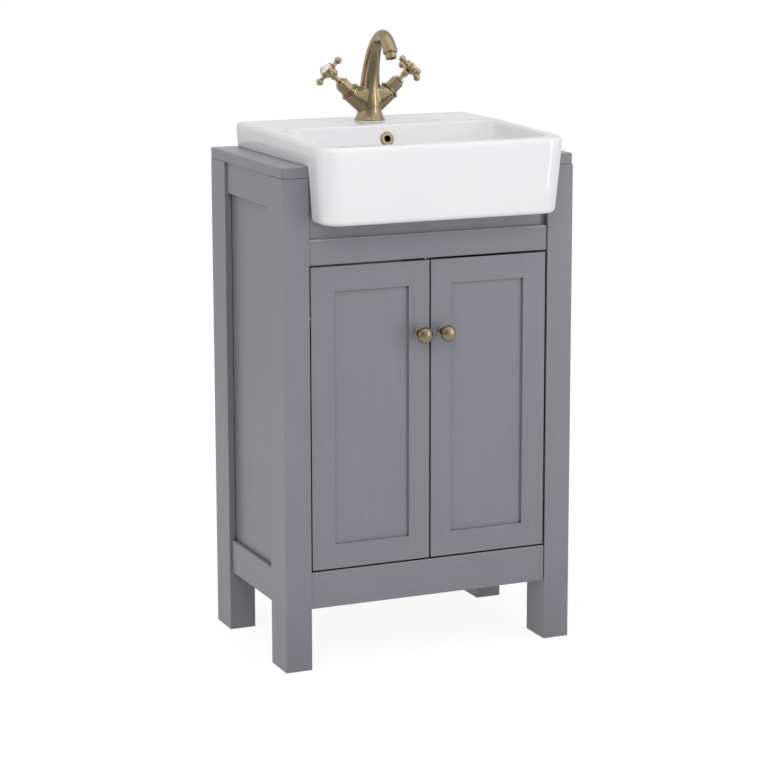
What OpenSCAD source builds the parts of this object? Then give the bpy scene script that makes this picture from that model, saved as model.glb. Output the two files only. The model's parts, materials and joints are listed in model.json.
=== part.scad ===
// Painted two-door vanity unit with a semi-recessed basin and a two-handle basin tap.
// Millimetres, +Z up, front towards -Y. The origin is on the floor, under the middle
// of the whole unit: halfway between the basin's front and the wall.

/* [Cabinet] */
// Width over the posts
cab_w = 510; // [490:2:560]
// Depth from the posts' front faces to the wall
cab_d = 326; // [316:2:360]
// Height of the top slab's upper face above the floor
slab_top = 820; // [790:2:860]
// Thickness of the top slab
slab_t = 18; // [15:1:22]
// Radius of the top slab's front corners
slab_r = 5; // [2:1:9]
// Width of a post, seen from the front
post_w = 45; // [42:1:50]
// Depth of a post, seen from the side
post_d = 64; // [60:1:70]
// Clear height under the rails, between the legs
leg_h = 101.5; // [80:0.5:130]

/* [Front frame] */
// Setback of the front rails and doors behind the posts' faces
rail_set = 2; // [0.5:0.5:4]
// Thickness of the front rails
front_rail_t = 20; // [18:1:22]
// Height of the rail below the doors
bottom_rail_h = 61; // [50:1:75]
// Height of the rail above the doors
front_rail_h = 41; // [35:1:50]
// Height of the fascia board between the upper rail and the slab
fascia_h = 98.5; // [92:0.5:110]
// Thickness of the fascia board
fascia_t = 18; // [12:1:20]
// Setback of the fascia behind the front rails' faces
fascia_set = 9; // [6:1:12]

/* [Side frames] */
// Setback of the side rails inside the posts' outer faces
side_rail_set = 4; // [2:0.5:5]
// Thickness of the side rails
side_rail_t = 18; // [16:1:20]
// Height of the top side rails
side_top_rail_h = 52; // [45:1:60]
// Height of the bottom side rails
side_bottom_rail_h = 56; // [53:1:65]
// Thickness of the side panels
side_panel_t = 6; // [5:0.5:8]
// Setback of the side panels inside the posts' outer faces
side_panel_set = 12; // [10:0.5:13]
// Depth of the grooves that hold the side panels
side_groove = 8; // [6:0.5:10]
// Clearance round a panel's thickness in its groove
groove_fit = 0.1; // [0.05:0.05:0.3]
// Space left past a panel's edge at the bottom of its groove
panel_room = 0.8; // [0.4:0.1:1.5]

/* [Inside] */
// Thickness of the base panel
base_t = 18; // [15:1:20]
// How far the base panel stands above the door opening's lower edge, as a door stop
base_rise = 8; // [5:0.5:10]
// Gap between a closed door's back and its stop
stop_gap = 0.3; // [0.2:0.1:1]
// Thickness of the shelf
shelf_t = 16; // [15:1:20]
// Height of the shelf's underside above the floor
shelf_z = 400; // [330:5:460]
// Play round the loose shelf
shelf_play = 0.8; // [0.5:0.1:1.5]
// Gap between the swing of the doors' hinged edges and the shelf's front edge
shelf_front_gap = 1.5; // [1:0.5:5]
// Distance of the shelf pins from the shelf's front and rear edges
shelf_pin_in = 12; // [8:1:18]
// Diameter of a shelf pin
pin_d = 5; // [4:0.5:7]
// Depth of a shelf pin's hole in a post
pin_hole = 10; // [8:1:14]
// How far a shelf pin sticks out of its post
pin_out = 8; // [6:1:10]
// Clearance all round in screw, stud and shelf pin holes
hole_fit = 0.1; // [0.05:0.05:0.2]
// Thickness of the back panel
back_t = 6; // [4:0.5:8]
// Depth of the rear posts' grooves for the back panel
back_groove = 7; // [5:0.5:9]
// Thickness of the two rear rails, which touch the wall
rear_rail_t = 18; // [16:1:22]
// Height of the rear top rail
rear_top_rail_h = 80; // [60:2:90]
// Width of the service cut-out in the back panel
service_w = 280; // [200:10:320]
// Height of the service cut-out
service_h = 190; // [150:5:200]
// Height of the service cut-out's lower edge above the floor
service_z = 505; // [495:5:510]
// Corner radius of the service cut-out
service_r = 20; // [8:1:30]
// Distance between the two wall fixing holes
wall_hole_gap = 300; // [200:10:340]
// Diameter of the wall fixing holes
wall_hole_d = 6.5; // [5:0.5:8]

/* [Doors] */
// Gap round each door
door_gap = 3; // [2.6:0.1:4]
// Thickness of the door frames
door_t = 20; // [19:0.5:22]
// Width of the doors' hinge stiles
stile_w = 40; // [38:1:46]
// Width of the doors' meeting stiles
meeting_stile_w = 36; // [36:1:46]
// Height of the door rails
door_rail_h = 40; // [35:1:50]
// Thickness of the door panels
door_panel_t = 8; // [6:0.5:9]
// Setback of the door panels behind the frames' faces
door_panel_set = 5; // [4:0.5:6]
// Depth of the groove and length of the stub tenons in a door frame
door_groove = 8; // [6:0.5:9]

/* [Hinges] */
// Distance of each hinge's centre from the door's nearer end
hinge_end = 80; // [60:5:120]
// Distance of the hinge pin from the door's hinged edge
pivot_in = 16; // [15:0.5:17]
// Distance of the hinge pin behind the door's face
pivot_back = 9; // [8:0.5:9.5]
// Diameter of the hinge cup
cup_d = 26; // [24:1:28]
// Distance of the cup's centre from the door's hinged edge
cup_in = 17; // [16:0.5:18]
// Wood left in front of the hinge cup
cup_skin = 4; // [3.5:0.1:4.4]
// Diameter of the hinge pin
hinge_pin_d = 3; // [2.5:0.1:3.4]
// Radial running clearance on the hinge pin
hinge_fit = 0.05; // [0.03:0.01:0.08]
// Height of a hinge arm
arm_h = 12; // [10:0.5:13]
// Thickness of a hinge arm and of its mounting plate
arm_t = 3; // [2.5:0.1:3.2]
// Thickness of metal round the hinge pin in the arm's knuckle
knuckle_wall = 1.7; // [1.3:0.1:1.9]
// Clearance round the moving arm in its slot
arm_clear = 0.4; // [0.3:0.1:0.6]
// Depth of the mounting plate along the post
plate_d = 28; // [26:1:29]
// Height of the mounting plate
plate_h = 36; // [32:1:44]
// Height of the hinge cup's fixing wing
wing_h = 46; // [44:1:54]
// Width of the hinge cup's fixing wing
wing_w = 12; // [11:1:14]
// Thickness of the hinge cup's fixing wing
wing_t = 1.2; // [1:0.1:1.6]
// Diameter of the hinge screws
screw_d = 3.5; // [3:0.1:4]
// Length of the hinge screws in the wood
screw_l = 13; // [10:1:14]

/* [Knobs] */
// Diameter of a knob's head
knob_d = 26.4; // [22:0.2:30]
// Thickness of a knob's head
knob_head_t = 16; // [13:0.5:20]
// Distance of a knob's middle in front of the door's face
knob_reach = 26; // [20:0.2:28]
// Diameter of a knob's neck
knob_neck_d = 10; // [9:0.5:12]
// Diameter of a knob's rose
rose_d = 17; // [16:0.5:24]
// Distance of a knob's axis from the door's meeting edge
knob_in = 19; // [15:0.5:24]
// Height of the knobs' centres below the doors' top edges
knob_down = 117.5; // [90:0.5:180]
// Diameter of the knob screws
knob_screw_d = 4; // [3:0.5:5]
// Depth of a knob screw in its knob
knob_screw_in = 12; // [8:1:14]

/* [Basin] */
// How far the basin's front stands ahead of the posts
basin_over = 68; // [58:1:72]
// Height of the basin's rear rim and tap ledge above the slab
rim_rear = 41; // [38:0.5:48]
// Height of the basin's front rim above the slab
rim_front = 35; // [33:0.5:37]
// How far the basin laps over each post at slab level
post_lap = 1; // [0:0.5:3]
// Extra half width of the basin at its rim
rim_flare = 2; // [0:0.5:4]
// Loss of half width from slab level to the basin's lower front edge
foot_taper = 6; // [2:0.5:8]
// Thickness of the side rims
rim_t = 20; // [18:0.5:24]
// Thickness of the front rim
rim_front_t = 18; // [17:0.5:21]
// Radius of the rim's edges
rim_r = 8; // [5:0.5:9]
// Radius of the basin's upright front corners
basin_r = 34; // [26:1:40]
// Radius of the basin's upright rear corners
basin_rear_r = 12; // [10:0.5:16]
// Radius of the basin's lower front edge
foot_r = 8; // [4:0.5:10]
// Depth of the flat tap ledge, from the wall to the bowl
ledge_d = 146; // [136:1:150]
// Thickness of the tap ledge and of the rear rim
ledge_t = 14; // [12:0.5:16]
// Drop of the basin's lower front edge below the slab's upper face
apron_drop = 89; // [86:1:91]
// Thickness of the apron's walls
apron_wall = 13; // [11:0.5:15]
// Drop of the bowl's floor below the slab's upper face
bowl_drop = 70; // [60:1:72]
// Thickness of the bowl's wall
bowl_wall = 12; // [10:0.5:12.5]
// Radius between the bowl's floor and its walls
bowl_floor_r = 35; // [28:1:40]
// Radius of the bowl's upright corners at the rim
bowl_r = 40; // [36:1:46]
// Width of slab that carries the basin at each side
bearing = 12; // [10:0.5:14]
// Clearance between the bowl and what it hangs through
cut_clear = 2; // [1:0.5:3]
// Distance from the wall to the slab's cut-out
cut_back = 26; // [24:1:30]
// Height of the overflow's centre above the slab's upper face
overflow_up = 17; // [14:0.5:20]
// Diameter of the overflow hole
overflow_d = 20; // [18:0.5:22]
// Diameter of the overflow passage down to the waste
channel_d = 12; // [10:0.5:13]

/* [Waste] */
// Diameter of the waste hole
waste_hole_d = 46; // [45:0.5:48]
// Diameter of the waste flange
waste_flange_d = 64; // [62:0.5:66]
// Thickness of the waste flange
waste_flange_t = 3; // [2.5:0.1:3.5]
// Outer diameter of the threaded waste tail
waste_tail_d = 41.9; // [41:0.1:42.5]
// Inner diameter of the waste tail
waste_bore_d = 35; // [33:0.5:36]
// Length of the waste tail below its flange
waste_l = 90; // [84:1:110]
// Diameter of the tail's plain end, below its thread
waste_end_d = 41; // [40:0.1:41]
// Length of thread that shows below the backnut
waste_thread_out = 2.5; // [1:0.5:6]
// Depth of the ceramic below the bowl's floor at the waste
waste_boss = 30; // [27:1:32]
// Thickness of the ceramic round the waste hole
waste_boss_wall = 10.5; // [9:0.5:12]
// Gap between the fascia and the ceramic round the waste
waste_gap = 2.5; // [2:0.5:6]
// Thickness of the rubber washers at the waste
washer_t = 1.5; // [1:0.1:2.5]
// Diameter of the waste backnut across its corners
backnut_d = 62; // [56:1:70]
// Thickness of the waste backnut
backnut_t = 12; // [8:1:15]
// Diameter of the push plug's cap
plug_d = 60; // [56:0.5:61]
// Diameter of the push plug's stem
stem_d = 8; // [7:0.5:9]
// Travel of the push plug between open and closed
plug_travel = 8; // [6:0.5:9]
// Radial running clearance on stems and tap spindles
running_fit = 0.05; // [0.03:0.01:0.08]

/* [Tap] */
// Distance from the wall to the tap's axis
tap_back = 78; // [72:1:82]
// Diameter of the tap hole in the ledge
tap_hole_d = 35; // [34:0.5:36]
// Diameter of the tap's base
tap_base_d = 53; // [48:0.5:56]
// Height of the tap's waist above its base
tap_waist_h = 27; // [24:1:29]
// Thickness of the gasket under the tap
tap_gasket_t = 1; // [0.8:0.1:1.5]
// Horizontal reach of the spout
spout_reach = 88; // [80:1:96]
// Height of the spout's root above the tap's base
spout_root_h = 43; // [40:1:46]
// Height of the spout's nose above the tap's base
spout_nose_h = 117; // [112:1:122]
// Pull of the spout's curve above its root
spout_root_pull = 95; // [90:1:100]
// Pull of the spout's curve above its nose
spout_nose_pull = 56; // [52:1:60]
// Radius of the spout at its root
spout_root_r = 17.8; // [17.2:0.1:18.4]
// Radius of the spout at its nose
spout_nose_r = 12.4; // [12:0.1:13]
// Diameter of the aerator
aerator_d = 18.6; // [17.6:0.2:19.8]
// Height at which the side arms' axes cross the tap's axis
arm_cross_h = 15; // [13:0.5:17]
// Slope of the side arms
arm_angle = 47; // [44:0.5:50]
// Length of a side arm from the tap's axis to its end face
arm_l = 47.5; // [46:0.5:52]
// Radius of a side arm at its end face
arm_r = 16; // [15.4:0.1:16.6]
// Diameter of the valve spindles
spindle_d = 8; // [7:0.5:8]
// Radius from a handle's axis to its ball ends
cross_r = 23.6; // [22.8:0.1:27]
// Diameter of the ball ends
ball_d = 12.4; // [11.4:0.2:13]
// Radius of a handle's hub
hub_r = 12.8; // [12:0.1:13.4]
// Turn of the left handle's cross about its own axis at rest
left_cross_turn = -1; // [-20:1:20]
// Turn of the right handle's cross about its own axis at rest
right_cross_turn = -14; // [-40:1:-4]
// Radius of the two threaded inlets under the tap
inlet_r = 4.5; // [4:0.1:5]
// Depth of the inlets and of the stud's hole
inlet_deep = 14; // [10:1:16]
// Diameter of the fixing stud
stud_d = 8; // [6:0.5:8]

/* [Hidden] */

$fn = 64;
hull_fn = 32;
eps = 0.01;

// Finishes, as the photograph shows them
paint = [0.50, 0.50, 0.52];
inner_board = [0.56, 0.56, 0.57];
ceramic_white = [0.94, 0.94, 0.95];
old_brass = [0.60, 0.50, 0.31];
steel = [0.72, 0.72, 0.73];
nylon = [0.86, 0.86, 0.84];
black_rubber = [0.10, 0.10, 0.10];

// Places that follow from the sizes above
half_w = cab_w / 2;
post_in = half_w - post_w;
front_y = (basin_over - cab_d) / 2;
slab_z = slab_top - slab_t;
opening_z = leg_h + bottom_rail_h;
fascia_z = slab_z - fascia_h;
opening_top = fascia_z - front_rail_h;
door_back = rail_set + door_t;
rear_y = cab_d - post_d;

side_rail_x = half_w - side_rail_set - side_rail_t;
side_panel_x = half_w - side_panel_set - side_panel_t;
back_y = cab_d - rear_rail_t - back_t;
base_z = opening_z + base_rise - base_t;
base_top = base_z + base_t;
base_y = door_back + stop_gap;

// Doors
door_w = (2 * post_in - 3 * door_gap) / 2;
door_x = -post_in + door_gap;
door_z = opening_z + door_gap;
door_top = opening_top - door_gap;
door_h = door_top - door_z;
door_panel_y = rail_set + door_panel_set;
knob_x = -door_gap / 2 - knob_in;
knob_z = door_top - knob_down;

// Hinges, for the left door
pivot_x = door_x + pivot_in;
pivot_y = rail_set + pivot_back;
hinge_zs = [door_z + hinge_end, door_top - hinge_end];
knuckle_r = hinge_pin_d / 2 + hinge_fit + knuckle_wall;
cup_deep = door_t - cup_skin;
slot_h = arm_h + 2 * arm_clear;
slot_right = knuckle_r + arm_clear;
pin_l = cup_d - 6;
// The door's back corner swings on this radius, and reaches this far back
sweep_r = norm([pivot_in, door_t - pivot_back]);
sweep_y = pivot_y + sweep_r;
// The arm crosses to the post just behind that swing
arm_cross_y = sweep_y + 1.2;
plate_y = arm_cross_y;
screw_head_d = 2 * screw_d;
screw_head_t = 1.8;
wing_screw_z = wing_h / 2 - 5;
plate_screw_z = plate_h / 2 - 7;
plate_screw_y = plate_y + plate_d - 8;

// Shelf
shelf_y = sweep_y + shelf_front_gap;
shelf_rear_y = back_y - shelf_play;
front_pin_y = shelf_y + shelf_pin_in;
rear_pin_y = shelf_rear_y - shelf_pin_in;

// Basin
basin_hw = post_in + post_lap;
rim_hw = basin_hw + rim_flare;
foot_hw = basin_hw - foot_taper;
lean = 1.5;
foot_lean = 5;
apron_back = 1;
rim_rear_z = slab_top + rim_rear;
rim_front_z = slab_top + rim_front;
apron_z = slab_top - apron_drop;
cut_hw = basin_hw - bearing;
cut_y = cab_d - cut_back;
bowl_rim_hw = rim_hw - rim_t;
bowl_hw = cut_hw - cut_clear - bowl_wall;
bowl_foot_hw = bowl_hw - 9;
bowl_front = rim_front_t - basin_over;
bowl_rear = cab_d - ledge_d;
bowl_step = 8;
bowl_z = slab_top - bowl_drop;
bowl_front_in = 16;
bowl_rear_in = 12;
floor_x = bowl_foot_hw - bowl_floor_r;
floor_y0 = bowl_front + bowl_step / 2 + bowl_front_in + bowl_floor_r;
floor_y1 = bowl_rear - bowl_step - bowl_rear_in - bowl_floor_r;
boss_r = waste_hole_d / 2 + waste_boss_wall;
waste_y = rail_set + fascia_set + fascia_t + waste_gap + boss_r;
cavity_y = bowl_rear + bowl_wall + 1;
fascia_cut_z = bowl_z - bowl_wall - cut_clear;

// Overflow: the bowl's rear wall leans, and the ring sits square on it
overflow_z = slab_top + overflow_up;
wall_lean = atan(bowl_step / (rim_rear + 1));
overflow_y = bowl_rear - bowl_step * (rim_rear + 1 - overflow_up) / (rim_rear + 1);
ring_d = overflow_d + 4;
ring_t = 2.4;
ring_spigot = 9;
ring_hole_d = 11;
duct_hw = channel_d / 2 + 7;
duct_y = overflow_y + ring_spigot + channel_d / 2 + 6;
channel_z = bowl_z - bowl_wall - channel_d / 2 + 2;

// Waste
waste_recess = washer_t + waste_flange_t - 1;
waste_seat_z = bowl_z - waste_recess;
waste_flange_z = waste_seat_z + washer_t;
waste_boss_z = bowl_z - waste_boss;
backnut_z = waste_boss_z - washer_t - backnut_t;
waste_end_z = waste_flange_z - waste_l;
waste_thread_z = backnut_z - waste_thread_out;
spider_h = 16;
spider_z = backnut_z - spider_h;
spider_hub_r = stem_d / 2 + 3;
rib_t = 3;
plug_t = 5;
plug_seat_gap = 0.4;
plug_z = waste_flange_z + waste_flange_t + plug_seat_gap;
stem_end_z = spider_z - plug_travel;

// Tap
tap_y = cab_d - tap_back;
tap_z = rim_rear_z + tap_gasket_t;
spigot_r = tap_hole_d / 2 - 1.5;
spigot_h = 6 + tap_gasket_t;
inlet_x = 9;
inlet_y = -4;
stud_y = 9;
stud_l = 62;
plate_t = 2.5;
plate_r = tap_hole_d / 2 + 6.5;
plate_z = rim_rear_z - ledge_t - plate_t;
nut_t = 6.5;
nut_r = 7.5;
bonnet_flange_r = arm_r + 1.3;
bonnet_flange_t = 2;
bonnet_l = 27.5;
bonnet_end = arm_l + bonnet_l;
spindle_show = 9.5;
neck_d0 = bonnet_end + spindle_show;
neck_l = 8;
neck_r = 6.4;
hub_l = 16;
cross_d0 = neck_d0 + neck_l + hub_l / 2;
disc_seat = neck_d0 + neck_l + hub_l - 2;
disc_r = hub_r - 2;
disc_h = 6;
spindle_in = 15;

// Spout centre line: one cubic curve from the column's top to the nose
spout_root_lean = 5;
spout_nose_lean = 24;
spout_points = [
    [0, spout_root_h],
    [spout_root_lean, spout_root_h + spout_root_pull],
    [spout_reach - spout_nose_lean, spout_nose_h + spout_nose_pull],
    [spout_reach, spout_nose_h]
];
spout_waist_r = 6.2;
web_r = 16;
web_top = spout_root_h + 10;
spout_rings = 26;
spout_sides = 20;
knob_steps = 14;

function cubic(p, t) =
    pow(1 - t, 3) * p[0] + 3 * pow(1 - t, 2) * t * p[1]
    + 3 * (1 - t) * pow(t, 2) * p[2] + pow(t, 3) * p[3];
function cubic_slope(p, t) =
    3 * pow(1 - t, 2) * (p[1] - p[0]) + 6 * (1 - t) * t * (p[2] - p[1])
    + 3 * pow(t, 2) * (p[3] - p[2]);
function spout_r(t) =
    pow(1 - t, 2) * spout_root_r + 2 * (1 - t) * t * spout_waist_r + pow(t, 2) * spout_nose_r;
nose_slope = cubic_slope(spout_points, 1);
nose_tilt = atan2(nose_slope[0], -nose_slope[1]);

// Helpers

// Moves a piece drawn from the posts' front faces to its place
module place() {
    translate([0, front_y, 0]) children();
}

// A board given by its low corner and its high corner
module board(low, high) {
    translate(low) cube(high - low);
}

// The same piece on the other side of the unit
module other_side() {
    mirror([1, 0, 0]) children();
}

// A round bar along X, Y or Z
module bar_x(r, l) {
    rotate([0, 90, 0]) cylinder(r = r, h = l);
}

module bar_y(r, l) {
    rotate([-90, 0, 0]) cylinder(r = r, h = l);
}

// Countersunk-style screw along +Z, with its head's top at z = 0
module screw(d, l, head_d, head_t) {
    translate([0, 0, -head_t]) cylinder(d = head_d, h = head_t);
    translate([0, 0, -head_t - l]) cylinder(d = d, h = l + eps);
}

// Posts and side frames

// Shelf pin holes, one at the shelf's underside in each post
module pin_holes(y) {
    translate([-post_in - pin_hole, y, shelf_z - pin_d / 2])
        bar_x(pin_d / 2 + hole_fit, pin_hole + 1);
}

// Groove that holds a side panel's upright edge, open towards +Y
module side_panel_groove(y) {
    board(
        [-side_panel_x - side_panel_t - groove_fit, y, leg_h + side_bottom_rail_h - side_groove],
        [-side_panel_x + groove_fit, y + side_groove, slab_z - side_top_rail_h + side_groove]);
}

// Pilot holes for the hinge plates' screws
module plate_screw_holes() {
    for (z = hinge_zs, s = [-1, 1])
        translate([-post_in - screw_l, plate_screw_y, z + s * plate_screw_z])
            bar_x(screw_d / 2 + hole_fit, screw_l + 1);
}

module front_post() {
    difference() {
        board([-half_w, 0, 0], [-post_in, post_d, slab_z]);
        side_panel_groove(post_d - side_groove);
        pin_holes(front_pin_y);
        plate_screw_holes();
    }
}

module rear_post() {
    difference() {
        board([-half_w, rear_y, 0], [-post_in, cab_d, slab_z]);
        side_panel_groove(rear_y);
        pin_holes(rear_pin_y);
        board([-post_in - back_groove, back_y - groove_fit, base_top],
            [-post_in + 1, back_y + back_t + groove_fit, slab_z + 1]);
    }
}

module side_rail(low_z, high_z, groove_z) {
    difference() {
        board([-side_rail_x - side_rail_t, post_d, low_z], [-side_rail_x, rear_y, high_z]);
        board([-side_panel_x - side_panel_t - groove_fit, post_d - 1, groove_z],
            [-side_panel_x + groove_fit, rear_y + 1, groove_z + side_groove]);
    }
}

module side_panel() {
    reach = side_groove - panel_room;
    board([-side_panel_x - side_panel_t, post_d - reach, leg_h + side_bottom_rail_h - reach],
        [-side_panel_x, rear_y + reach, slab_z - side_top_rail_h + reach]);
}

module front_left_post() {
    color(paint) place() front_post();
}

module front_right_post() {
    color(paint) place() other_side() front_post();
}

module rear_left_post() {
    color(paint) place() rear_post();
}

module rear_right_post() {
    color(paint) place() other_side() rear_post();
}

module top_side_rail() {
    side_rail(slab_z - side_top_rail_h, slab_z, slab_z - side_top_rail_h);
}

module bottom_side_rail() {
    side_rail(leg_h, leg_h + side_bottom_rail_h, leg_h + side_bottom_rail_h - side_groove);
}

module left_top_rail() {
    color(paint) place() top_side_rail();
}

module left_bottom_rail() {
    color(paint) place() bottom_side_rail();
}

module left_side_panel() {
    color(paint) place() side_panel();
}

module right_top_rail() {
    color(paint) place() other_side() top_side_rail();
}

module right_bottom_rail() {
    color(paint) place() other_side() bottom_side_rail();
}

module right_side_panel() {
    color(paint) place() other_side() side_panel();
}

// Front frame

// Board behind the basin's apron, cut out for the bowl
module fascia_board() {
    y = rail_set + fascia_set;
    color(paint) place() difference() {
        board([-post_in, y, fascia_z], [post_in, y + fascia_t, slab_z]);
        board([-cut_hw, y - 1, fascia_cut_z], [cut_hw, y + fascia_t + 1, slab_z + 1]);
    }
}

module front_rail() {
    color(paint) place()
        board([-post_in, rail_set, opening_top],
            [post_in, rail_set + front_rail_t, fascia_z]);
}

module front_bottom_rail() {
    color(paint) place()
        board([-post_in, rail_set, leg_h], [post_in, rail_set + front_rail_t, opening_z]);
}

// Rear frame and inside boards

module rear_top_rail() {
    color(inner_board) place() difference() {
        board([-post_in, cab_d - rear_rail_t, slab_z - rear_top_rail_h], [post_in, cab_d, slab_z]);
        for (s = [-1, 1])
            translate([s * wall_hole_gap / 2, cab_d - rear_rail_t - 1, slab_z - rear_top_rail_h / 2])
                bar_y(wall_hole_d / 2, rear_rail_t + 2);
    }
}

module rear_bottom_rail() {
    color(inner_board) place()
        board([-post_in, cab_d - rear_rail_t, leg_h], [post_in, cab_d, opening_z]);
}

// The service cut-out's outline, with round corners
module service_outline() {
    square([service_w - 2 * service_r, service_h], center = true);
    square([service_w, service_h - 2 * service_r], center = true);
    for (sx = [-1, 1], sz = [-1, 1])
        translate([sx * (service_w / 2 - service_r), sz * (service_h / 2 - service_r)])
            circle(r = service_r);
}

// It carries wider holes in line with the rear top rail's wall fixings
module back_panel() {
    reach = back_groove - panel_room;
    holes_z = slab_z - rear_top_rail_h / 2;
    color(inner_board) place() difference() {
        board([-post_in - reach, back_y, base_top], [post_in + reach, back_y + back_t, slab_z]);
        translate([0, back_y + back_t + 1, service_z + service_h / 2])
            rotate([90, 0, 0]) linear_extrude(back_t + 2) service_outline();
        for (s = [-1, 1])
            translate([s * wall_hole_gap / 2, back_y - 1, holes_z])
                bar_y(wall_hole_d / 2 + 1, back_t + 2);
    }
}

// A board that fills the inside of the frame, notched round the four posts
module notched_board(wide, narrow, y0, y1, notch, low_z, thick) {
    board([-narrow, y0, low_z], [narrow, y1, low_z + thick]);
    board([-wide, post_d + notch, low_z], [wide, rear_y - notch, low_z + thick]);
}

// Its front corners are rebated for the swing of the doors' hinged edges
module base_panel() {
    color(inner_board) place() difference() {
        notched_board(side_rail_x, post_in, base_y, cab_d - rear_rail_t, 0, base_z, base_t);
        for (s = [0, 1])
            mirror([s, 0, 0])
                board([-post_in - 1, base_y - 1, opening_z],
                    [pivot_x + sweep_r + stop_gap, sweep_y + stop_gap, base_top + 1]);
    }
}

module shelf() {
    color(inner_board) place()
        notched_board(side_panel_x - shelf_play, post_in - shelf_play,
            shelf_y, shelf_rear_y, shelf_play, shelf_z, shelf_t);
}

module shelf_pins() {
    color(steel) place()
        for (s = [0, 1], y = [front_pin_y, rear_pin_y])
            mirror([s, 0, 0])
                translate([-post_in - pin_hole + panel_room, y, shelf_z - pin_d / 2])
                    bar_x(pin_d / 2, pin_hole - panel_room + pin_out);
}

// Top slab

// The slab's outline, with round front corners
module slab_outline() {
    translate([-half_w, slab_r]) square([cab_w, cab_d - slab_r]);
    translate([-half_w + slab_r, 0]) square([cab_w - 2 * slab_r, slab_r + 1]);
    for (s = [-1, 1])
        translate([s * (half_w - slab_r), slab_r]) circle(r = slab_r);
}

module top_slab() {
    color(paint) place() difference() {
        translate([0, 0, slab_z]) linear_extrude(slab_t) slab_outline();
        board([-cut_hw, -1, slab_z - 1], [cut_hw, cut_y, slab_top + 1]);
    }
}

// Basin

// A disc of radius r at height z, with its upper or lower edge rounded by edge_r
module round_disc(r, edge_r, z, up) {
    translate([0, 0, z]) mirror([0, 0, up ? 0 : 1])
        rotate_extrude($fn = hull_fn) {
            square([r - edge_r, edge_r]);
            intersection() {
                translate([r - edge_r, 0]) circle(r = edge_r, $fn = hull_fn);
                square([r, edge_r]);
            }
        }
}

// Four columns of one shape at the corners of a rectangle
module at_corners(x, y0, y1) {
    for (s = [-1, 1], y = [y0, y1])
        translate([s * x, y, 0]) children();
}

// The basin above the slab, solid
module basin_tray() {
    front = lean - basin_over;
    hull() {
        for (s = [-1, 1]) {
            translate([s * (rim_hw - basin_rear_r), cab_d - basin_rear_r, 0])
                round_disc(basin_rear_r, rim_r, rim_rear_z - rim_r, true);
            translate([s * (rim_hw - basin_rear_r), bowl_rear, 0])
                round_disc(basin_rear_r, rim_r, rim_rear_z - rim_r, true);
            translate([s * (rim_hw - basin_r), basin_r - basin_over, 0])
                round_disc(basin_r, rim_r, rim_front_z - rim_r, true);
            translate([s * (basin_hw - basin_rear_r), cab_d - lean - basin_rear_r, slab_top])
                cylinder(r = basin_rear_r, h = 1, $fn = hull_fn);
            translate([s * (basin_hw - basin_r), front + basin_r, slab_top])
                cylinder(r = basin_r, h = 1, $fn = hull_fn);
        }
    }
}

// The apron that drops in front of the fascia, solid
module basin_apron() {
    front = lean - basin_over;
    foot_front = front + foot_lean;
    hull() {
        for (s = [-1, 1]) {
            translate([s * (basin_hw - basin_r), front + basin_r, slab_top])
                cylinder(r = basin_r, h = 1, $fn = hull_fn);
            translate([s * (foot_hw - basin_r), foot_front + basin_r, 0])
                round_disc(basin_r, foot_r, apron_z + foot_r, false);
        }
        board([-basin_hw, -apron_back - 1, slab_top - 1], [basin_hw, -apron_back, slab_top + 1]);
        board([-foot_hw, -apron_back - 1, apron_z], [foot_hw, -apron_back, apron_z + 1]);
    }
}

// The bowl, grown by grow: 0 is the inside and bowl_wall the outside
module bowl(grow, top_z, top_hw, top_front, top_rear) {
    mid_r = bowl_r + grow;
    hull() {
        translate([0, 0, top_z])
            at_corners(top_hw - bowl_r, top_front + bowl_r, top_rear - bowl_r)
                cylinder(r = mid_r, h = 1, $fn = hull_fn);
        translate([0, 0, slab_top])
            at_corners(bowl_hw - bowl_r, bowl_front + bowl_step / 2 + bowl_r,
                bowl_rear - bowl_step - bowl_r)
                cylinder(r = mid_r, h = 1, $fn = hull_fn);
        translate([0, 0, bowl_z + bowl_floor_r])
            at_corners(floor_x, floor_y0, floor_y1)
                sphere(r = bowl_floor_r + grow, $fn = hull_fn);
    }
}

// The overflow's duct, behind the bowl and along its floor, and the boss round the waste
module basin_bosses() {
    board([-duct_hw, overflow_y + bowl_wall / 2, channel_z - channel_d],
        [duct_hw, duct_y + duct_hw, rim_rear_z - ledge_t + 1]);
    board([-duct_hw, waste_y, channel_z - channel_d],
        [duct_hw, duct_y + duct_hw, bowl_z - bowl_wall + 1]);
    translate([0, waste_y, waste_boss_z])
        cylinder(r = boss_r, h = waste_boss - bowl_wall + 1);
}

module basin_holes() {
    translate([0, tap_y, rim_rear_z - ledge_t - 1]) cylinder(d = tap_hole_d, h = ledge_t + 2);
    translate([0, waste_y, waste_boss_z - 1]) cylinder(d = waste_hole_d, h = waste_boss + 2);
    translate([0, waste_y, waste_seat_z])
        cylinder(d = waste_flange_d + 1.5, h = waste_recess + 1);
    translate([0, overflow_y, overflow_z]) rotate([-90 - wall_lean, 0, 0])
        translate([0, 0, -1]) cylinder(d = overflow_d, h = ring_spigot + channel_d / 2 + 3);
    translate([0, duct_y, channel_z])
        cylinder(d = channel_d, h = overflow_z - channel_z);
    translate([0, waste_y, channel_z]) bar_y(channel_d / 2, duct_y - waste_y);
}

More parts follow.
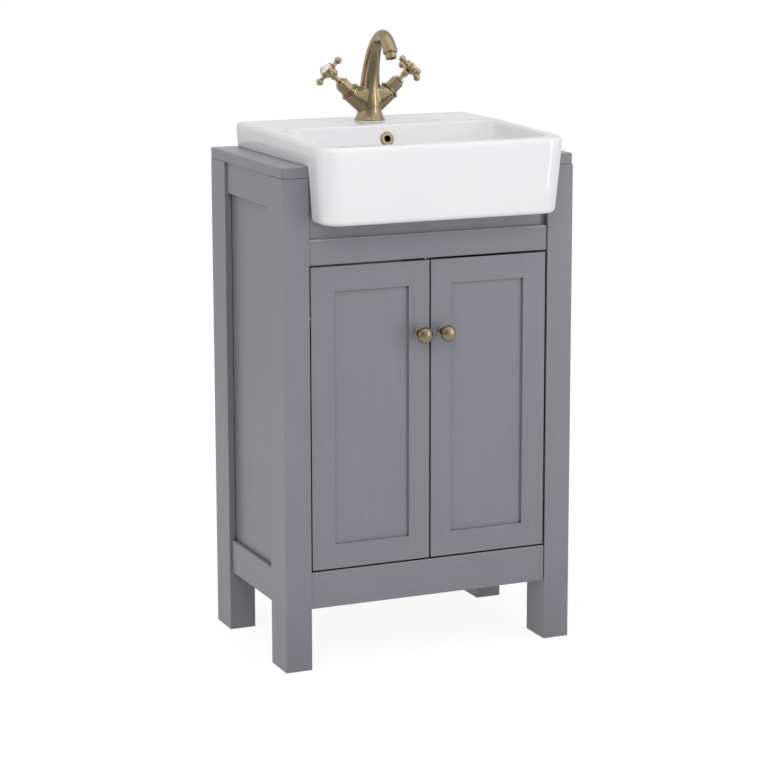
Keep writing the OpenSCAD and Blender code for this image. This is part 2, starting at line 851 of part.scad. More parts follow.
module basin() {
    color(ceramic_white) place() difference() {
        union() {
            difference() {
                union() {
                    basin_tray();
                    basin_apron();
                }
                board([-bowl_hw, cavity_y, slab_top - 1],
                    [bowl_hw, cab_d - lean - ledge_t, rim_rear_z - ledge_t]);
                board([-foot_hw + apron_wall, lean + foot_lean + apron_wall - basin_over,
                    apron_z - 1],
                    [foot_hw - apron_wall, -apron_back - apron_wall, slab_top - apron_wall]);
                board([-half_w, -apron_back, apron_z - 1], [half_w, cab_d, slab_top]);
            }
            bowl(bowl_wall, slab_top + 1, bowl_hw,
                bowl_front + bowl_step / 2, bowl_rear - bowl_step);
            basin_bosses();
        }
        bowl(0, rim_rear_z, bowl_rim_hw, bowl_front, bowl_rear);
        basin_holes();
    }
}

// Trim ring of the overflow hole, with its spigot
module overflow_ring() {
    color(old_brass) place()
        translate([0, overflow_y, overflow_z]) rotate([90 - wall_lean, 0, 0])
            rotate_extrude() difference() {
                union() {
                    translate([0, -ring_spigot]) square([overflow_d / 2 - hole_fit, ring_spigot + 1]);
                    square([ring_d / 2 - 1, ring_t]);
                    square([ring_d / 2, ring_t / 2]);
                }
                translate([-1, -ring_spigot - 1])
                    square([ring_hole_d / 2 + 1, ring_spigot + ring_t + 2]);
            }
}

// Waste

module waste_body() {
    bore_r = waste_bore_d / 2;
    color(old_brass) place() translate([0, waste_y, 0]) {
        difference() {
            union() {
                translate([0, 0, waste_flange_z]) cylinder(d = waste_flange_d, h = waste_flange_t);
                translate([0, 0, waste_thread_z])
                    cylinder(d = waste_tail_d, h = waste_flange_z - waste_thread_z + 1);
                translate([0, 0, waste_end_z]) cylinder(d = waste_end_d, h = waste_l);
            }
            translate([0, 0, waste_end_z - 1]) cylinder(r = bore_r, h = waste_l + 10);
            translate([0, -waste_tail_d, channel_z]) bar_y(channel_d / 2, 2 * waste_tail_d);
        }
        // Three ribs carry the guide of the plug's stem
        difference() {
            union() {
                translate([0, 0, spider_z]) cylinder(r = spider_hub_r, h = spider_h);
                for (a = [30, 150, 270])
                    rotate([0, 0, a]) translate([0, -rib_t / 2, spider_z])
                        cube([bore_r + 1, rib_t, spider_h]);
            }
            translate([0, 0, spider_z - 1]) cylinder(r = stem_d / 2 + running_fit, h = spider_h + 2);
        }
    }
}

// Rubber washers above and below the ceramic
module waste_washers() {
    color(black_rubber) place()
        for (z = [waste_seat_z, waste_boss_z - washer_t])
            translate([0, waste_y, z]) difference() {
                cylinder(d = waste_flange_d - 1, h = washer_t);
                translate([0, 0, -1]) cylinder(r = waste_tail_d / 2 + hole_fit, h = washer_t + 2);
            }
}

module waste_backnut() {
    color(nylon) place() translate([0, waste_y, backnut_z]) difference() {
        cylinder(d = backnut_d, h = backnut_t, $fn = 8);
        translate([0, 0, -1]) cylinder(r = waste_tail_d / 2 + hole_fit, h = backnut_t + 2);
    }
}

// Push plug, closed at rest. Its stem still fills the guide when it is raised
module waste_plug() {
    color(old_brass) place() translate([0, waste_y, 0]) {
        translate([0, 0, plug_z]) rotate_extrude() {
            square([plug_d / 2 - 2, plug_t]);
            square([plug_d / 2, plug_t - 2]);
        }
        translate([0, 0, stem_end_z]) cylinder(d = stem_d, h = plug_z - stem_end_z + 1);
    }
}

// Tap

module at_tap() {
    place() translate([0, tap_y, tap_z]) children();
}

// Points +Z along the left arm's axis, from where it crosses the tap's axis
module along_left_arm() {
    translate([0, 0, arm_cross_h]) rotate([0, -arm_angle, 0]) children();
}

// Base, waist and column, turned about the tap's axis
module tap_column() {
    base_r = tap_base_d / 2;
    rotate_extrude() polygon([
        [0, 0], [base_r, 0], [base_r, 2.5], [base_r - 2, 4.5], [base_r - 4.2, 9],
        [base_r - 6.2, tap_waist_h - 12], [base_r - 6.9, tap_waist_h - 6], [base_r - 7, tap_waist_h],
        [spout_root_r + 1.2, (tap_waist_h + spout_root_h) / 2 - 1],
        [spout_root_r, spout_root_h], [0, spout_root_h]
    ]);
}

// Points of one ring of the spout, square to the centre line
function spout_ring(t) =
    let (c = cubic(spout_points, t), s = cubic_slope(spout_points, t), l = norm(s), r = spout_r(t))
    [for (k = [0 : spout_sides - 1])
        let (a = 360 * k / spout_sides, across = r * cos(a), outward = r * sin(a))
        [across, -(c[0] + outward * s[1] / l), c[1] - outward * s[0] / l]];

module spout() {
    n = spout_sides;
    points = [for (i = [0 : spout_rings]) each spout_ring(i / spout_rings)];
    sides = [for (i = [0 : spout_rings - 1], k = [0 : n - 1])
        let (a = i * n + k, b = i * n + (k + 1) % n) each [[a, b, a + n], [b, b + n, a + n]]];
    ends = [
        [for (k = [0 : n - 1]) n - 1 - k],
        [for (k = [0 : n - 1]) spout_rings * n + k]
    ];
    polyhedron(points, concat(sides, ends), convexity = 4);
}

module at_nose() {
    translate([0, -spout_reach, spout_nose_h]) rotate([-nose_tilt, 0, 0]) children();
}

// Left arm, with the web that fills the corner between it and the column
module tap_arm() {
    along_left_arm() cylinder(r1 = arm_r - 1.8, r2 = arm_r, h = arm_l);
    hull() {
        along_left_arm() translate([0, 0, arm_l - 2]) cylinder(r = arm_r - 0.4, h = 1, $fn = 32);
        translate([0, 0, tap_waist_h - 4]) cylinder(r = web_r, h = web_top - tap_waist_h + 4, $fn = 32);
    }
}

module tap_body() {
    color(old_brass) at_tap() difference() {
        union() {
            tap_column();
            spout();
            tap_arm();
            other_side() tap_arm();
            translate([0, 0, -spigot_h]) cylinder(r = spigot_r, h = spigot_h + 1);
        }
        for (s = [-1, 1])
            translate([s * inlet_x, inlet_y, -spigot_h - 1]) cylinder(r = inlet_r, h = inlet_deep + 1);
        translate([0, stud_y, -spigot_h - 1])
            cylinder(r = stud_d / 2 + hole_fit, h = inlet_deep + 1);
        at_nose() translate([0, 0, -1]) cylinder(d = aerator_d - 4 + 2 * hole_fit, h = 7);
    }
}

module tap_gasket() {
    color(nylon) at_tap() translate([0, 0, -tap_gasket_t]) difference() {
        cylinder(r = tap_base_d / 2 - 1, h = tap_gasket_t);
        translate([0, 0, -1]) cylinder(r = spigot_r + hole_fit, h = tap_gasket_t + 2);
    }
}

// Aerator, screwed into the nose: a collar with a recessed outlet
module aerator() {
    color(old_brass) at_tap() at_nose() difference() {
        union() {
            translate([0, 0, -9]) cylinder(d = aerator_d, h = 9);
            cylinder(d = aerator_d - 4, h = 5);
        }
        translate([0, 0, -10]) cylinder(d = aerator_d - 5, h = 3);
    }
}

// Bonnet over a valve: flange, ring, eight-sided body and top ring
module bonnet() {
    ring_r = arm_r - 1.6;
    body_z = bonnet_flange_t + 3;
    body_h = bonnet_l - body_z - 5.5;
    translate([0, 0, arm_l]) difference() {
        union() {
            cylinder(r = bonnet_flange_r, h = bonnet_flange_t);
            cylinder(r = ring_r, h = body_z);
            cylinder(r = ring_r - 2, h = body_z + body_h, $fn = 8);
            translate([0, 0, body_z + body_h - eps])
                cylinder(r1 = ring_r - 2, r2 = ring_r - 5.6, h = 3, $fn = 8);
            cylinder(r = ring_r - 6, h = bonnet_l);
        }
        translate([0, 0, bonnet_l - spindle_in - 1])
            cylinder(r = spindle_d / 2 + running_fit, h = spindle_in + 2);
    }
}

module left_bonnet() {
    color(old_brass) at_tap() along_left_arm() bonnet();
}

module right_bonnet() {
    color(old_brass) at_tap() other_side() along_left_arm() bonnet();
}

// Valve spindle, turning in the bonnet and fixed in the cross-head's neck
module spindle() {
    translate([0, 0, bonnet_end - spindle_in])
        cylinder(d = spindle_d, h = spindle_in + spindle_show + neck_l - 0.5);
}

// Cross-head: neck, hub and four arms with ball ends
module cross_head(turn) {
    hub_z = neck_d0 + neck_l;
    difference() {
        union() {
            translate([0, 0, neck_d0]) cylinder(r = neck_r, h = neck_l + 1, $fn = 8);
            translate([0, 0, hub_z]) rotate_extrude() polygon([
                [0, 0], [neck_r + 0.4, 0], [hub_r - 1.6, 3], [hub_r, 6.5], [hub_r, hub_l - 3],
                [hub_r - 0.8, hub_l], [0, hub_l]
            ]);
            for (k = [0 : 3])
                translate([0, 0, cross_d0]) rotate([0, 0, turn + 90 * k]) {
                    translate([hub_r - 4, 0, 0]) rotate([0, 90, 0])
                        cylinder(r1 = 3.8, r2 = 3.1, h = cross_r - hub_r + 4);
                    translate([cross_r, 0, 0]) rotate([0, 90, 0]) sphere(d = ball_d);
                }
        }
        translate([0, 0, neck_d0 - 1]) cylinder(r = spindle_d / 2 + hole_fit, h = neck_l + 1);
        translate([0, 0, disc_seat]) cylinder(r = disc_r + hole_fit, h = 3);
    }
}

// Domed ceramic disc in the hub's face
module index_disc() {
    translate([0, 0, disc_seat]) rotate_extrude() intersection() {
        square([disc_r, disc_h]);
        translate([0, disc_h - 1.4 * disc_r]) circle(r = 1.4 * disc_r);
    }
}

module left_spindle() {
    color(old_brass) at_tap() along_left_arm() spindle();
}

module left_cross_head() {
    color(old_brass) at_tap() along_left_arm() cross_head(left_cross_turn);
}

module left_index_disc() {
    color(ceramic_white) at_tap() along_left_arm() index_disc();
}

module right_spindle() {
    color(old_brass) at_tap() other_side() along_left_arm() spindle();
}

module right_cross_head() {
    color(old_brass) at_tap() other_side() along_left_arm() cross_head(right_cross_turn);
}

module right_index_disc() {
    color(ceramic_white) at_tap() other_side() along_left_arm() index_disc();
}

module tap_stud() {
    top = inlet_deep - spigot_h - 0.5;
    color(steel) at_tap() translate([0, stud_y, top - stud_l]) cylinder(d = stud_d, h = stud_l);
}

// Horseshoe plate that clamps the tap under the ledge, open at the front for the hoses
module tap_retaining_plate() {
    gap_hw = inlet_x + inlet_r + 2;
    color(steel) place() translate([0, tap_y, plate_z]) difference() {
        cylinder(r = plate_r, h = plate_t);
        translate([0, stud_y, -1]) cylinder(r = stud_d / 2 + 2 * hole_fit, h = plate_t + 2);
        translate([-gap_hw, -plate_r - 1, -1])
            cube([2 * gap_hw, plate_r + 1 + inlet_r, plate_t + 2]);
    }
}

module tap_nut() {
    color(steel) place() translate([0, tap_y + stud_y, plate_z - nut_t]) difference() {
        cylinder(r = nut_r, h = nut_t, $fn = 6);
        translate([0, 0, -1]) cylinder(r = stud_d / 2 + hole_fit, h = nut_t + 2);
    }
}

// Hinges

// Arm from the pin's knuckle back to the mounting plate on the post
module hinge_arm(z) {
    translate([0, 0, z]) difference() {
        union() {
            translate([pivot_x, pivot_y, -arm_h / 2]) cylinder(r = knuckle_r, h = arm_h);
            board([pivot_x - arm_t / 2, pivot_y, -arm_h / 2],
                [pivot_x + arm_t / 2, arm_cross_y + arm_t, arm_h / 2]);
            board([-post_in, arm_cross_y, -arm_h / 2],
                [pivot_x + arm_t / 2, arm_cross_y + arm_t, arm_h / 2]);
            board([-post_in, plate_y, -plate_h / 2],
                [-post_in + arm_t, plate_y + plate_d, plate_h / 2]);
        }
        translate([pivot_x, pivot_y, -arm_h])
            cylinder(r = hinge_pin_d / 2 + hinge_fit, h = 2 * arm_h);
        for (s = [-1, 1])
            translate([-post_in - 1, plate_screw_y, s * plate_screw_z])
                bar_x(screw_d / 2 + hole_fit, arm_t + 2);
    }
}

module hinge_arms() {
    color(steel) place()
        for (s = [0, 1], z = hinge_zs)
            mirror([s, 0, 0]) hinge_arm(z);
}

module hinge_screws() {
    color(steel) place()
        for (m = [0, 1], z = hinge_zs, s = [-1, 1])
            mirror([m, 0, 0])
                translate([-post_in + arm_t + screw_head_t, plate_screw_y, z + s * plate_screw_z])
                    rotate([0, 90, 0])
                        screw(screw_d, screw_l + arm_t - panel_room, screw_head_d, screw_head_t);
}

// The notch that a hinge arm swings through, cut in the cup and in the stile
module arm_notch(z, floor_y) {
    board([door_x - 1, floor_y, z - slot_h / 2],
        [pivot_x + slot_right, door_back + wing_t + 1, z + slot_h / 2]);
}

module hinge_cup(z) {
    cup_y = door_back - cup_deep;
    difference() {
        union() {
            translate([door_x + cup_in, cup_y, z]) bar_y(cup_d / 2, cup_deep);
            board([door_x + cup_in - wing_w / 2, door_back, z - wing_h / 2],
                [door_x + cup_in + wing_w / 2, door_back + wing_t, z + wing_h / 2]);
        }
        arm_notch(z, cup_y + 0.6);
        translate([pivot_x, pivot_y, z - pin_l / 2]) cylinder(d = hinge_pin_d, h = pin_l);
        for (s = [-1, 1])
            translate([door_x + cup_in, door_back - 1, z + s * wing_screw_z])
                bar_y(screw_d / 2 + hole_fit, wing_t + 2);
    }
    // Each wing is fixed by two screws
    for (s = [-1, 1])
        translate([door_x + cup_in, door_back + wing_t + screw_head_t, z + s * wing_screw_z])
            rotate([-90, 0, 0])
                screw(screw_d, screw_l + wing_t - panel_room, screw_head_d, screw_head_t);
}

module door_hinge_cups() {
    for (z = hinge_zs) hinge_cup(z);
}

module door_hinge_pins() {
    for (z = hinge_zs)
        translate([pivot_x, pivot_y, z - pin_l / 2]) cylinder(d = hinge_pin_d, h = pin_l);
}

module left_hinge_cups() {
    color(steel) place() door_hinge_cups();
}

module left_hinge_pins() {
    color(steel) place() door_hinge_pins();
}

module right_hinge_cups() {
    color(steel) place() other_side() door_hinge_cups();
}

module right_hinge_pins() {
    color(steel) place() other_side() door_hinge_pins();
}

// Doors, drawn as the left door

// Groove along a stile's inner edge, for the panel and the rails' tenons
module stile_groove(x) {
    board([x, door_panel_y - groove_fit, door_z - 1],
        [x + door_groove, door_panel_y + door_panel_t + groove_fit, door_top + 1]);
}

module door_hinge_stile() {
    difference() {
        board([door_x, rail_set, door_z], [door_x + stile_w, door_back, door_top]);
        stile_groove(door_x + stile_w - door_groove);
        for (z = hinge_zs) {
            translate([door_x + cup_in, door_back - cup_deep, z]) bar_y(cup_d / 2, cup_deep + 1);
            arm_notch(z, door_back - cup_deep);
            for (s = [-1, 1])
                translate([door_x + cup_in, door_back - screw_l, z + s * wing_screw_z])
                    bar_y(screw_d / 2 + hole_fit, screw_l + 1);
        }
    }
}

module door_meeting_stile() {
    x = -door_gap / 2 - meeting_stile_w;
    difference() {
        board([x, rail_set, door_z], [x + meeting_stile_w, door_back, door_top]);
        stile_groove(x);
        translate([knob_x, rail_set - 1, knob_z]) bar_y(knob_screw_d / 2 + hole_fit, door_t + 2);
    }
}

// A rail with stub tenons at both ends and a groove along one edge
module door_rail(low_z, groove_z) {
    x0 = door_x + stile_w;
    x1 = -door_gap / 2 - meeting_stile_w;
    tenon = door_groove - groove_fit;
    difference() {
        union() {
            board([x0, rail_set, low_z], [x1, door_back, low_z + door_rail_h]);
            board([x0 - tenon, door_panel_y, low_z],
                [x1 + tenon, door_panel_y + door_panel_t, low_z + door_rail_h]);
        }
        board([x0 - door_groove - 1, door_panel_y - groove_fit, groove_z],
            [x1 + door_groove + 1, door_panel_y + door_panel_t + groove_fit,
                groove_z + door_groove]);
    }
}

module door_top_rail() {
    door_rail(door_top - door_rail_h, door_top - door_rail_h);
}

module door_bottom_rail() {
    door_rail(door_z, door_z + door_rail_h - door_groove);
}

module door_panel() {
    reach = door_groove - panel_room;
    board([door_x + stile_w - reach, door_panel_y, door_z + door_rail_h - reach],
        [-door_gap / 2 - meeting_stile_w + reach, door_panel_y + door_panel_t,
            door_top - door_rail_h + reach]);
}

// Knob: rose, waisted neck and flattened ball, turned about the knob's axis
module knob() {
    rose_r = rose_d / 2;
    start = asin(knob_neck_d / knob_d);
    head = [for (k = [0 : knob_steps])
        let (a = start + (180 - start) * k / knob_steps)
        [knob_d / 2 * sin(a), knob_reach - knob_head_t / 2 * cos(a)]];
    translate([knob_x, rail_set, knob_z]) rotate([90, 0, 0]) difference() {
        rotate_extrude() polygon(concat(
            [[0, 0], [rose_r, 0], [rose_r, 1.2], [rose_r - 1.2, 2], [rose_r - 2.6, 2.6],
                [knob_neck_d / 2, 9]],
            head));
        translate([0, 0, -1]) cylinder(r = knob_screw_d / 2 + hole_fit, h = knob_screw_in + 1);
    }
}

module knob_screw() {
    translate([knob_x, door_back + screw_head_t, knob_z]) rotate([-90, 0, 0])
        screw(knob_screw_d, door_t + knob_screw_in - panel_room, 2 * knob_screw_d, screw_head_t);
}

module left_door_hinge_stile() {
    color(paint) place() door_hinge_stile();
}

module left_door_meeting_stile() {
    color(paint) place() door_meeting_stile();
}

module left_door_top_rail() {
    color(paint) place() door_top_rail();
}

module left_door_bottom_rail() {
    color(paint) place() door_bottom_rail();
}

module left_door_panel() {
    color(paint) place() door_panel();
}

module left_knob() {
    color(old_brass) place() knob();
}

module left_knob_screw() {
    color(steel) place() knob_screw();
}

module right_door_hinge_stile() {
    color(paint) place() other_side() door_hinge_stile();
}

module right_door_meeting_stile() {
    color(paint) place() other_side() door_meeting_stile();
}

module right_door_top_rail() {
    color(paint) place() other_side() door_top_rail();
}

module right_door_bottom_rail() {
    color(paint) place() other_side() door_bottom_rail();
}

module right_door_panel() {
    color(paint) place() other_side() door_panel();
}

module right_knob() {
    color(old_brass) place() other_side() knob();
}

module right_knob_screw() {
    color(steel) place() other_side() knob_screw();
}

front_left_post();
front_right_post();
rear_left_post();
rear_right_post();
left_top_rail();
left_bottom_rail();
left_side_panel();
right_top_rail();
right_bottom_rail();
right_side_panel();
fascia_board();
front_rail();
front_bottom_rail();
rear_top_rail();
rear_bottom_rail();
back_panel();
base_panel();
shelf();
shelf_pins();
top_slab();
basin();
overflow_ring();
waste_body();
waste_washers();
waste_backnut();
waste_plug();
tap_body();
tap_gasket();
aerator();
left_bonnet();
right_bonnet();
tap_stud();
tap_retaining_plate();
tap_nut();
left_spindle();
left_cross_head();
left_index_disc();
right_spindle();
right_cross_head();
right_index_disc();
hinge_arms();
hinge_screws();
left_door_hinge_stile();
left_door_meeting_stile();
left_door_top_rail();
left_door_bottom_rail();
left_door_panel();
left_knob();
left_knob_screw();
left_hinge_cups();
left_hinge_pins();
right_door_hinge_stile();
right_door_meeting_stile();
right_door_top_rail();
right_door_bottom_rail();
right_door_panel();
right_knob();
right_knob_screw();
right_hinge_cups();
right_hinge_pins();
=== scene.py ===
"""Looks of the vanity unit: painted wood, a glazed basin and an old brass tap.

Lengths are in metres, or in millimetres where a comment or mm() says so.
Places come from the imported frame.
"""

import json
import math

import bmesh
import bpy
from mathutils import Matrix, Vector


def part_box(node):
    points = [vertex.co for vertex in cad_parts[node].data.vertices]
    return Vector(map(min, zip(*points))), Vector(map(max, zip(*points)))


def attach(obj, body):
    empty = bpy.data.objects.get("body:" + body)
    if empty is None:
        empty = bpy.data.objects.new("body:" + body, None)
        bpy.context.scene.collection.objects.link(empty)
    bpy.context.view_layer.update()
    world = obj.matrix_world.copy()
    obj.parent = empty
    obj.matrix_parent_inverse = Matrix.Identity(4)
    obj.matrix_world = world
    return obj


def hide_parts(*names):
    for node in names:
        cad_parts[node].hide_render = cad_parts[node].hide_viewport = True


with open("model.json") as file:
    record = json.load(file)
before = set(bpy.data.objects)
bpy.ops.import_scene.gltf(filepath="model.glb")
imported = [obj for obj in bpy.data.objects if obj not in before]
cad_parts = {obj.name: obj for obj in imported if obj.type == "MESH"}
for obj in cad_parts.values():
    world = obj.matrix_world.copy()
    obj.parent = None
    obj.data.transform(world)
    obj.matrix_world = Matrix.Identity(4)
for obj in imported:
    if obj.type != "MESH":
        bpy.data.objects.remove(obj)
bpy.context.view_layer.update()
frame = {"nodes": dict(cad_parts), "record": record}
NODES = frame["nodes"]
BODY_OF = {n: b for b, names in frame["record"]["behaviour"]["bodies"].items() for n in names}
SLOT_OF = {p["node"]: p["material_slot"] for p in frame["record"]["subparts"]}
SIDES = ("left", "right")


def mm(*values):
    """Millimetres to metres: one number, or a vector."""
    return values[0] / 1000 if len(values) == 1 else Vector(values) / 1000


# Places read from the frame
FRONT_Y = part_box("front_left_post")[0].y
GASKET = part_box("tap_gasket")
TAP_BASE = Vector((0, (GASKET[0].y + GASKET[1].y) / 2, GASKET[1].z))
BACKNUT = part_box("waste_backnut")
WASTE_Y = (BACKNUT[0].y + BACKNUT[1].y) / 2


def local(x, y, z):
    """A point given in mm from the posts' front faces."""
    return mm(x, y, z) + Vector((0, FRONT_Y, 0))


# Material helpers

def add(tree, kind, inputs=None, **settings):
    """A new node with its settings, and with values or links on its inputs."""
    node = tree.nodes.new(kind)
    for key, value in settings.items():
        setattr(node, key, value)
    for key, value in (inputs or {}).items():
        if isinstance(value, bpy.types.NodeSocket):
            tree.links.new(value, node.inputs[key])
        else:
            node.inputs[key].default_value = value
    return node


def noise(tree, scale, detail, stretch=(1, 1, 1)):
    """Noise in the object's own coordinates, scale features per metre."""
    where = add(tree, "ShaderNodeTexCoord").outputs["Object"]
    scaled = add(tree, "ShaderNodeMapping", {"Vector": where, "Scale": stretch})
    return add(tree, "ShaderNodeTexNoise", {
        "Vector": scaled.outputs[0], "Scale": scale, "Detail": detail}).outputs["Fac"]


def remap(tree, value, low, high, start=0.3, end=0.7):
    """low to high as value goes from start to end, which are a noise's usual bounds."""
    return add(tree, "ShaderNodeMapRange", {
        "Value": value, "From Min": start, "From Max": end,
        "To Min": low, "To Max": high}).outputs[0]


def blend_two(tree, a, b, share):
    """a and b mixed, with that share of b."""
    return add(tree, "ShaderNodeMix", {0: share, 2: a, 3: b}).outputs[0]


def two_colours(tree, share, first, second):
    """A mix of two colours, each given as numbers or as a socket."""
    ends = [c if isinstance(c, bpy.types.NodeSocket) else (*c, 1) for c in (first, second)]
    node = add(tree, "ShaderNodeMix", {6: ends[0], 7: ends[1]}, data_type="RGBA")
    tree.links.new(share, node.inputs[0])
    return node.outputs[2]


def maximum(tree, a, b):
    """The larger of two values."""
    return add(tree, "ShaderNodeMath", {0: a, 1: b}, operation="MAXIMUM").outputs[0]


def bump(tree, height, strength, distance, below=None):
    """The normal of a relief, laid over the normal of a coarser one if that is given."""
    inputs = {"Height": height, "Strength": strength, "Distance": distance}
    if below is not None:
        inputs["Normal"] = below
    return add(tree, "ShaderNodeBump", inputs).outputs[0]


def height_of(tree, vector):
    """The Z of a vector socket."""
    return add(tree, "ShaderNodeSeparateXYZ", {"Vector": vector}).outputs["Z"]


def new_material(name, links, **values):
    """A Principled material: links(tree) gives what is linked to its sockets, and values are
    set on them, with spaces in their names as _."""
    material = bpy.data.materials.new(name)
    material.use_nodes = True
    tree = material.node_tree
    shader = tree.nodes["Principled BSDF"]
    for key, value in values.items():
        shader.inputs[key.replace("_", " ")].default_value = value
    for key, socket in links(tree).items():
        tree.links.new(socket, shader.inputs[key])
    return material


# Painted shade and light. Openness is 0 deep in a slot and 1 in the open; facing is the Z of the
# surface's normal
# Near-black painted shade: most of it deep in narrow slots, a little towards the floor
SHADE_COLOUR = (0.010, 0.010, 0.012)
SLOT_DEPTH, SLOT_SHADE = 0.012, 0.97
SLOT_FULL_SHADE, SLOT_UNSHADED = 0.2, 0.48
FOOT_HEIGHT, FOOT_SHADE = 0.15, 0.16
# Paler colour on what faces up: a painted highlight, as light falling on tops and ledges
TOP_LIGHT_COLOUR = (0.56, 0.55, 0.57)
TOP_LIGHT_STARTS, TOP_LIGHT_FULL = 0.2, 0.8


def painted_shade(tree):
    """Share of painted shade: most of a narrow slot between two pieces, and a little at the feet.
    """
    openness = add(tree, "ShaderNodeAmbientOcclusion", {"Distance": SLOT_DEPTH},
                   samples=8).outputs["AO"]
    slot = remap(tree, openness, SLOT_SHADE, 0, SLOT_FULL_SHADE, SLOT_UNSHADED)
    height = height_of(tree, add(tree, "ShaderNodeTexCoord").outputs["Object"])
    foot = remap(tree, height, FOOT_SHADE, 0, 0, FOOT_HEIGHT)
    return maximum(tree, slot, foot)


def painted_top_light(tree, colour, most):
    """The colour painted paler on what faces up as a highlight, with at most that share of the
    pale colour.
    """
    facing = height_of(tree, add(tree, "ShaderNodeNewGeometry").outputs["Normal"])
    share = remap(tree, facing, 0, most, TOP_LIGHT_STARTS, TOP_LIGHT_FULL)
    return two_colours(tree, share, colour, TOP_LIGHT_COLOUR)


# Paint: noise scales are per metre, and a relief is its strength and its distance
STREAK_FINE, STREAK_LONG = 210, 7
MOTTLE_SCALE, PEEL_SCALE = 11, 700
STREAK_RELIEF = (0.35, mm(0.16))
PEEL_RELIEF = (0.12, mm(0.05))
SATIN, MATT = (0.32, 0.41), (0.55, 0.68)
PAINT_IOR = 1.58


def paint(name, axis, dark, light, roughness=SATIN, streaks=0.6, top_light=0.0, shaded=True):
    """Paint with faint brush marks along one axis. streaks is their share in its tone.
    Unless that is turned off, it gets painted shade in slots and at the feet, and a painted
    highlight on what faces up if a share is given.
    """
    stretch = [STREAK_FINE] * 3
    stretch["XYZ".index(axis)] = STREAK_LONG

    def links(tree):
        streak = noise(tree, scale=1, detail=4, stretch=stretch)
        mottle = noise(tree, MOTTLE_SCALE, detail=2)
        orange_peel = noise(tree, PEEL_SCALE, detail=1)
        tone = blend_two(tree, mottle, streak, streaks)
        brushed = bump(tree, streak, *STREAK_RELIEF)
        unshaded = two_colours(tree, remap(tree, tone, 0, 1), dark, light)
        used = two_colours(tree, painted_shade(tree), unshaded, SHADE_COLOUR) if shaded else unshaded
        return {
            "Base Color": painted_top_light(tree, used, top_light) if top_light else used,
            "Roughness": remap(tree, streak, *roughness),
            "Normal": bump(tree, orange_peel, *PEEL_RELIEF, brushed),
        }
    return new_material(name, links, IOR=PAINT_IOR)


GREY = ((0.172, 0.168, 0.193), (0.190, 0.186, 0.212))
# Paler grey: real wear on bevelled edges, and painted light on the fascia, which lies in shade
# under the basin
WORN_AND_LIT_GREY = ((0.190, 0.186, 0.212), (0.228, 0.223, 0.250))
BOARD_GREY = ((0.255, 0.254, 0.262), (0.300, 0.299, 0.307))
PAINT = {axis: paint(f"paint_{axis}", axis, *GREY) for axis in "XYZ"}
PAINT_EDGE = paint("paint_edge", "Z", *WORN_AND_LIT_GREY, streaks=0.3)
# The fascia is painted paler and without slot shade, as light where it lies in the basin's shade
FASCIA_LIT_PAINT = paint("paint_fascia_lit", "X", *WORN_AND_LIT_GREY, shaded=False)
# The rail's ledge and the slab's top get a painted highlight on what faces up
LEDGE_HIGHLIT_PAINT = paint("paint_ledge_highlit", "X", *GREY, top_light=0.9)
SLAB_TOP_LIT_PAINT = paint("paint_slab_top_lit", "X", *GREY, top_light=0.2)
BOARD = paint("board_paint", "X", *BOARD_GREY, roughness=MATT, streaks=0.35)


# The other finishes

GLAZE_SHADES = ((0.745, 0.738, 0.755), (0.768, 0.761, 0.777))
BRASS_DARK = (0.215, 0.168, 0.096)
BRASS_LIGHT = (0.404, 0.322, 0.193)
WORN_POINTINESS = (0.47, 0.55)
STEEL_SHADES = ((0.52, 0.52, 0.53), (0.66, 0.66, 0.67))
GRAIN_SHADE, GRAIN_SPREAD = 0.88, 0.06


def glaze_links(tree):
    """A white glaze with a slow ripple."""
    cloud = noise(tree, scale=9, detail=1)
    ripple = noise(tree, scale=26, detail=1)
    return {
        "Base Color": two_colours(tree, remap(tree, cloud, 0, 1), *GLAZE_SHADES),
        "Roughness": remap(tree, cloud, 0.06, 0.10),
        "Normal": bump(tree, ripple, strength=0.05, distance=mm(1.2)),
    }


def brass(name, tone, roughness=(0.15, 0.25)):
    """Old lacquered brass, clouded and brushed, lighter where it is worn."""
    def links(tree):
        cloud = noise(tree, scale=30, detail=4)
        brushed = noise(tree, scale=1, detail=3, stretch=(620, 620, 34))
        pointed = add(tree, "ShaderNodeNewGeometry").outputs["Pointiness"]
        worn = remap(tree, pointed, 0, 1, *WORN_POINTINESS)
        share = blend_two(tree, blend_two(tree, cloud, brushed, 0.3), worn, 0.25)
        return {
            "Base Color": two_colours(tree, remap(tree, share, 0, 1, 0.2, 0.8),
                                      [tone * c for c in BRASS_DARK],
                                      [tone * c for c in BRASS_LIGHT]),
            "Roughness": remap(tree, cloud, *roughness),
            "Normal": bump(tree, brushed, strength=0.06, distance=mm(0.03)),
        }
    return new_material(name, links, Metallic=1.0, Coat_Weight=0.35, Coat_Roughness=0.18)


def steel_links(tree):
    """Zinc-plated steel with fine drawn streaks, painted darker deep in a slot as shade."""
    streak = noise(tree, scale=1, detail=3, stretch=(900, 900, 60))
    unshaded = two_colours(tree, remap(tree, streak, 0, 1), *STEEL_SHADES)
    return {
        "Base Color": two_colours(tree, painted_shade(tree), unshaded, SHADE_COLOUR),
        "Roughness": remap(tree, streak, 0.28, 0.42),
        "Normal": bump(tree, streak, strength=0.08, distance=mm(0.03)),
    }


def grainy(colour, roughness, scale):
    """Matt moulded stuff: a little tone change and a fine grain."""
    def links(tree):
        grain = noise(tree, scale, detail=2)
        return {
            "Base Color": two_colours(tree, remap(tree, grain, 0, 1),
                                      [GRAIN_SHADE * c for c in colour], colour),
            "Roughness": remap(tree, grain, roughness - GRAIN_SPREAD, roughness + GRAIN_SPREAD),
            "Normal": bump(tree, grain, strength=0.15, distance=mm(0.06)),
        }
    return links


GLAZE = new_material("white_glaze", glaze_links, IOR=1.46)
BRASS = brass("antique_brass", tone=0.95)
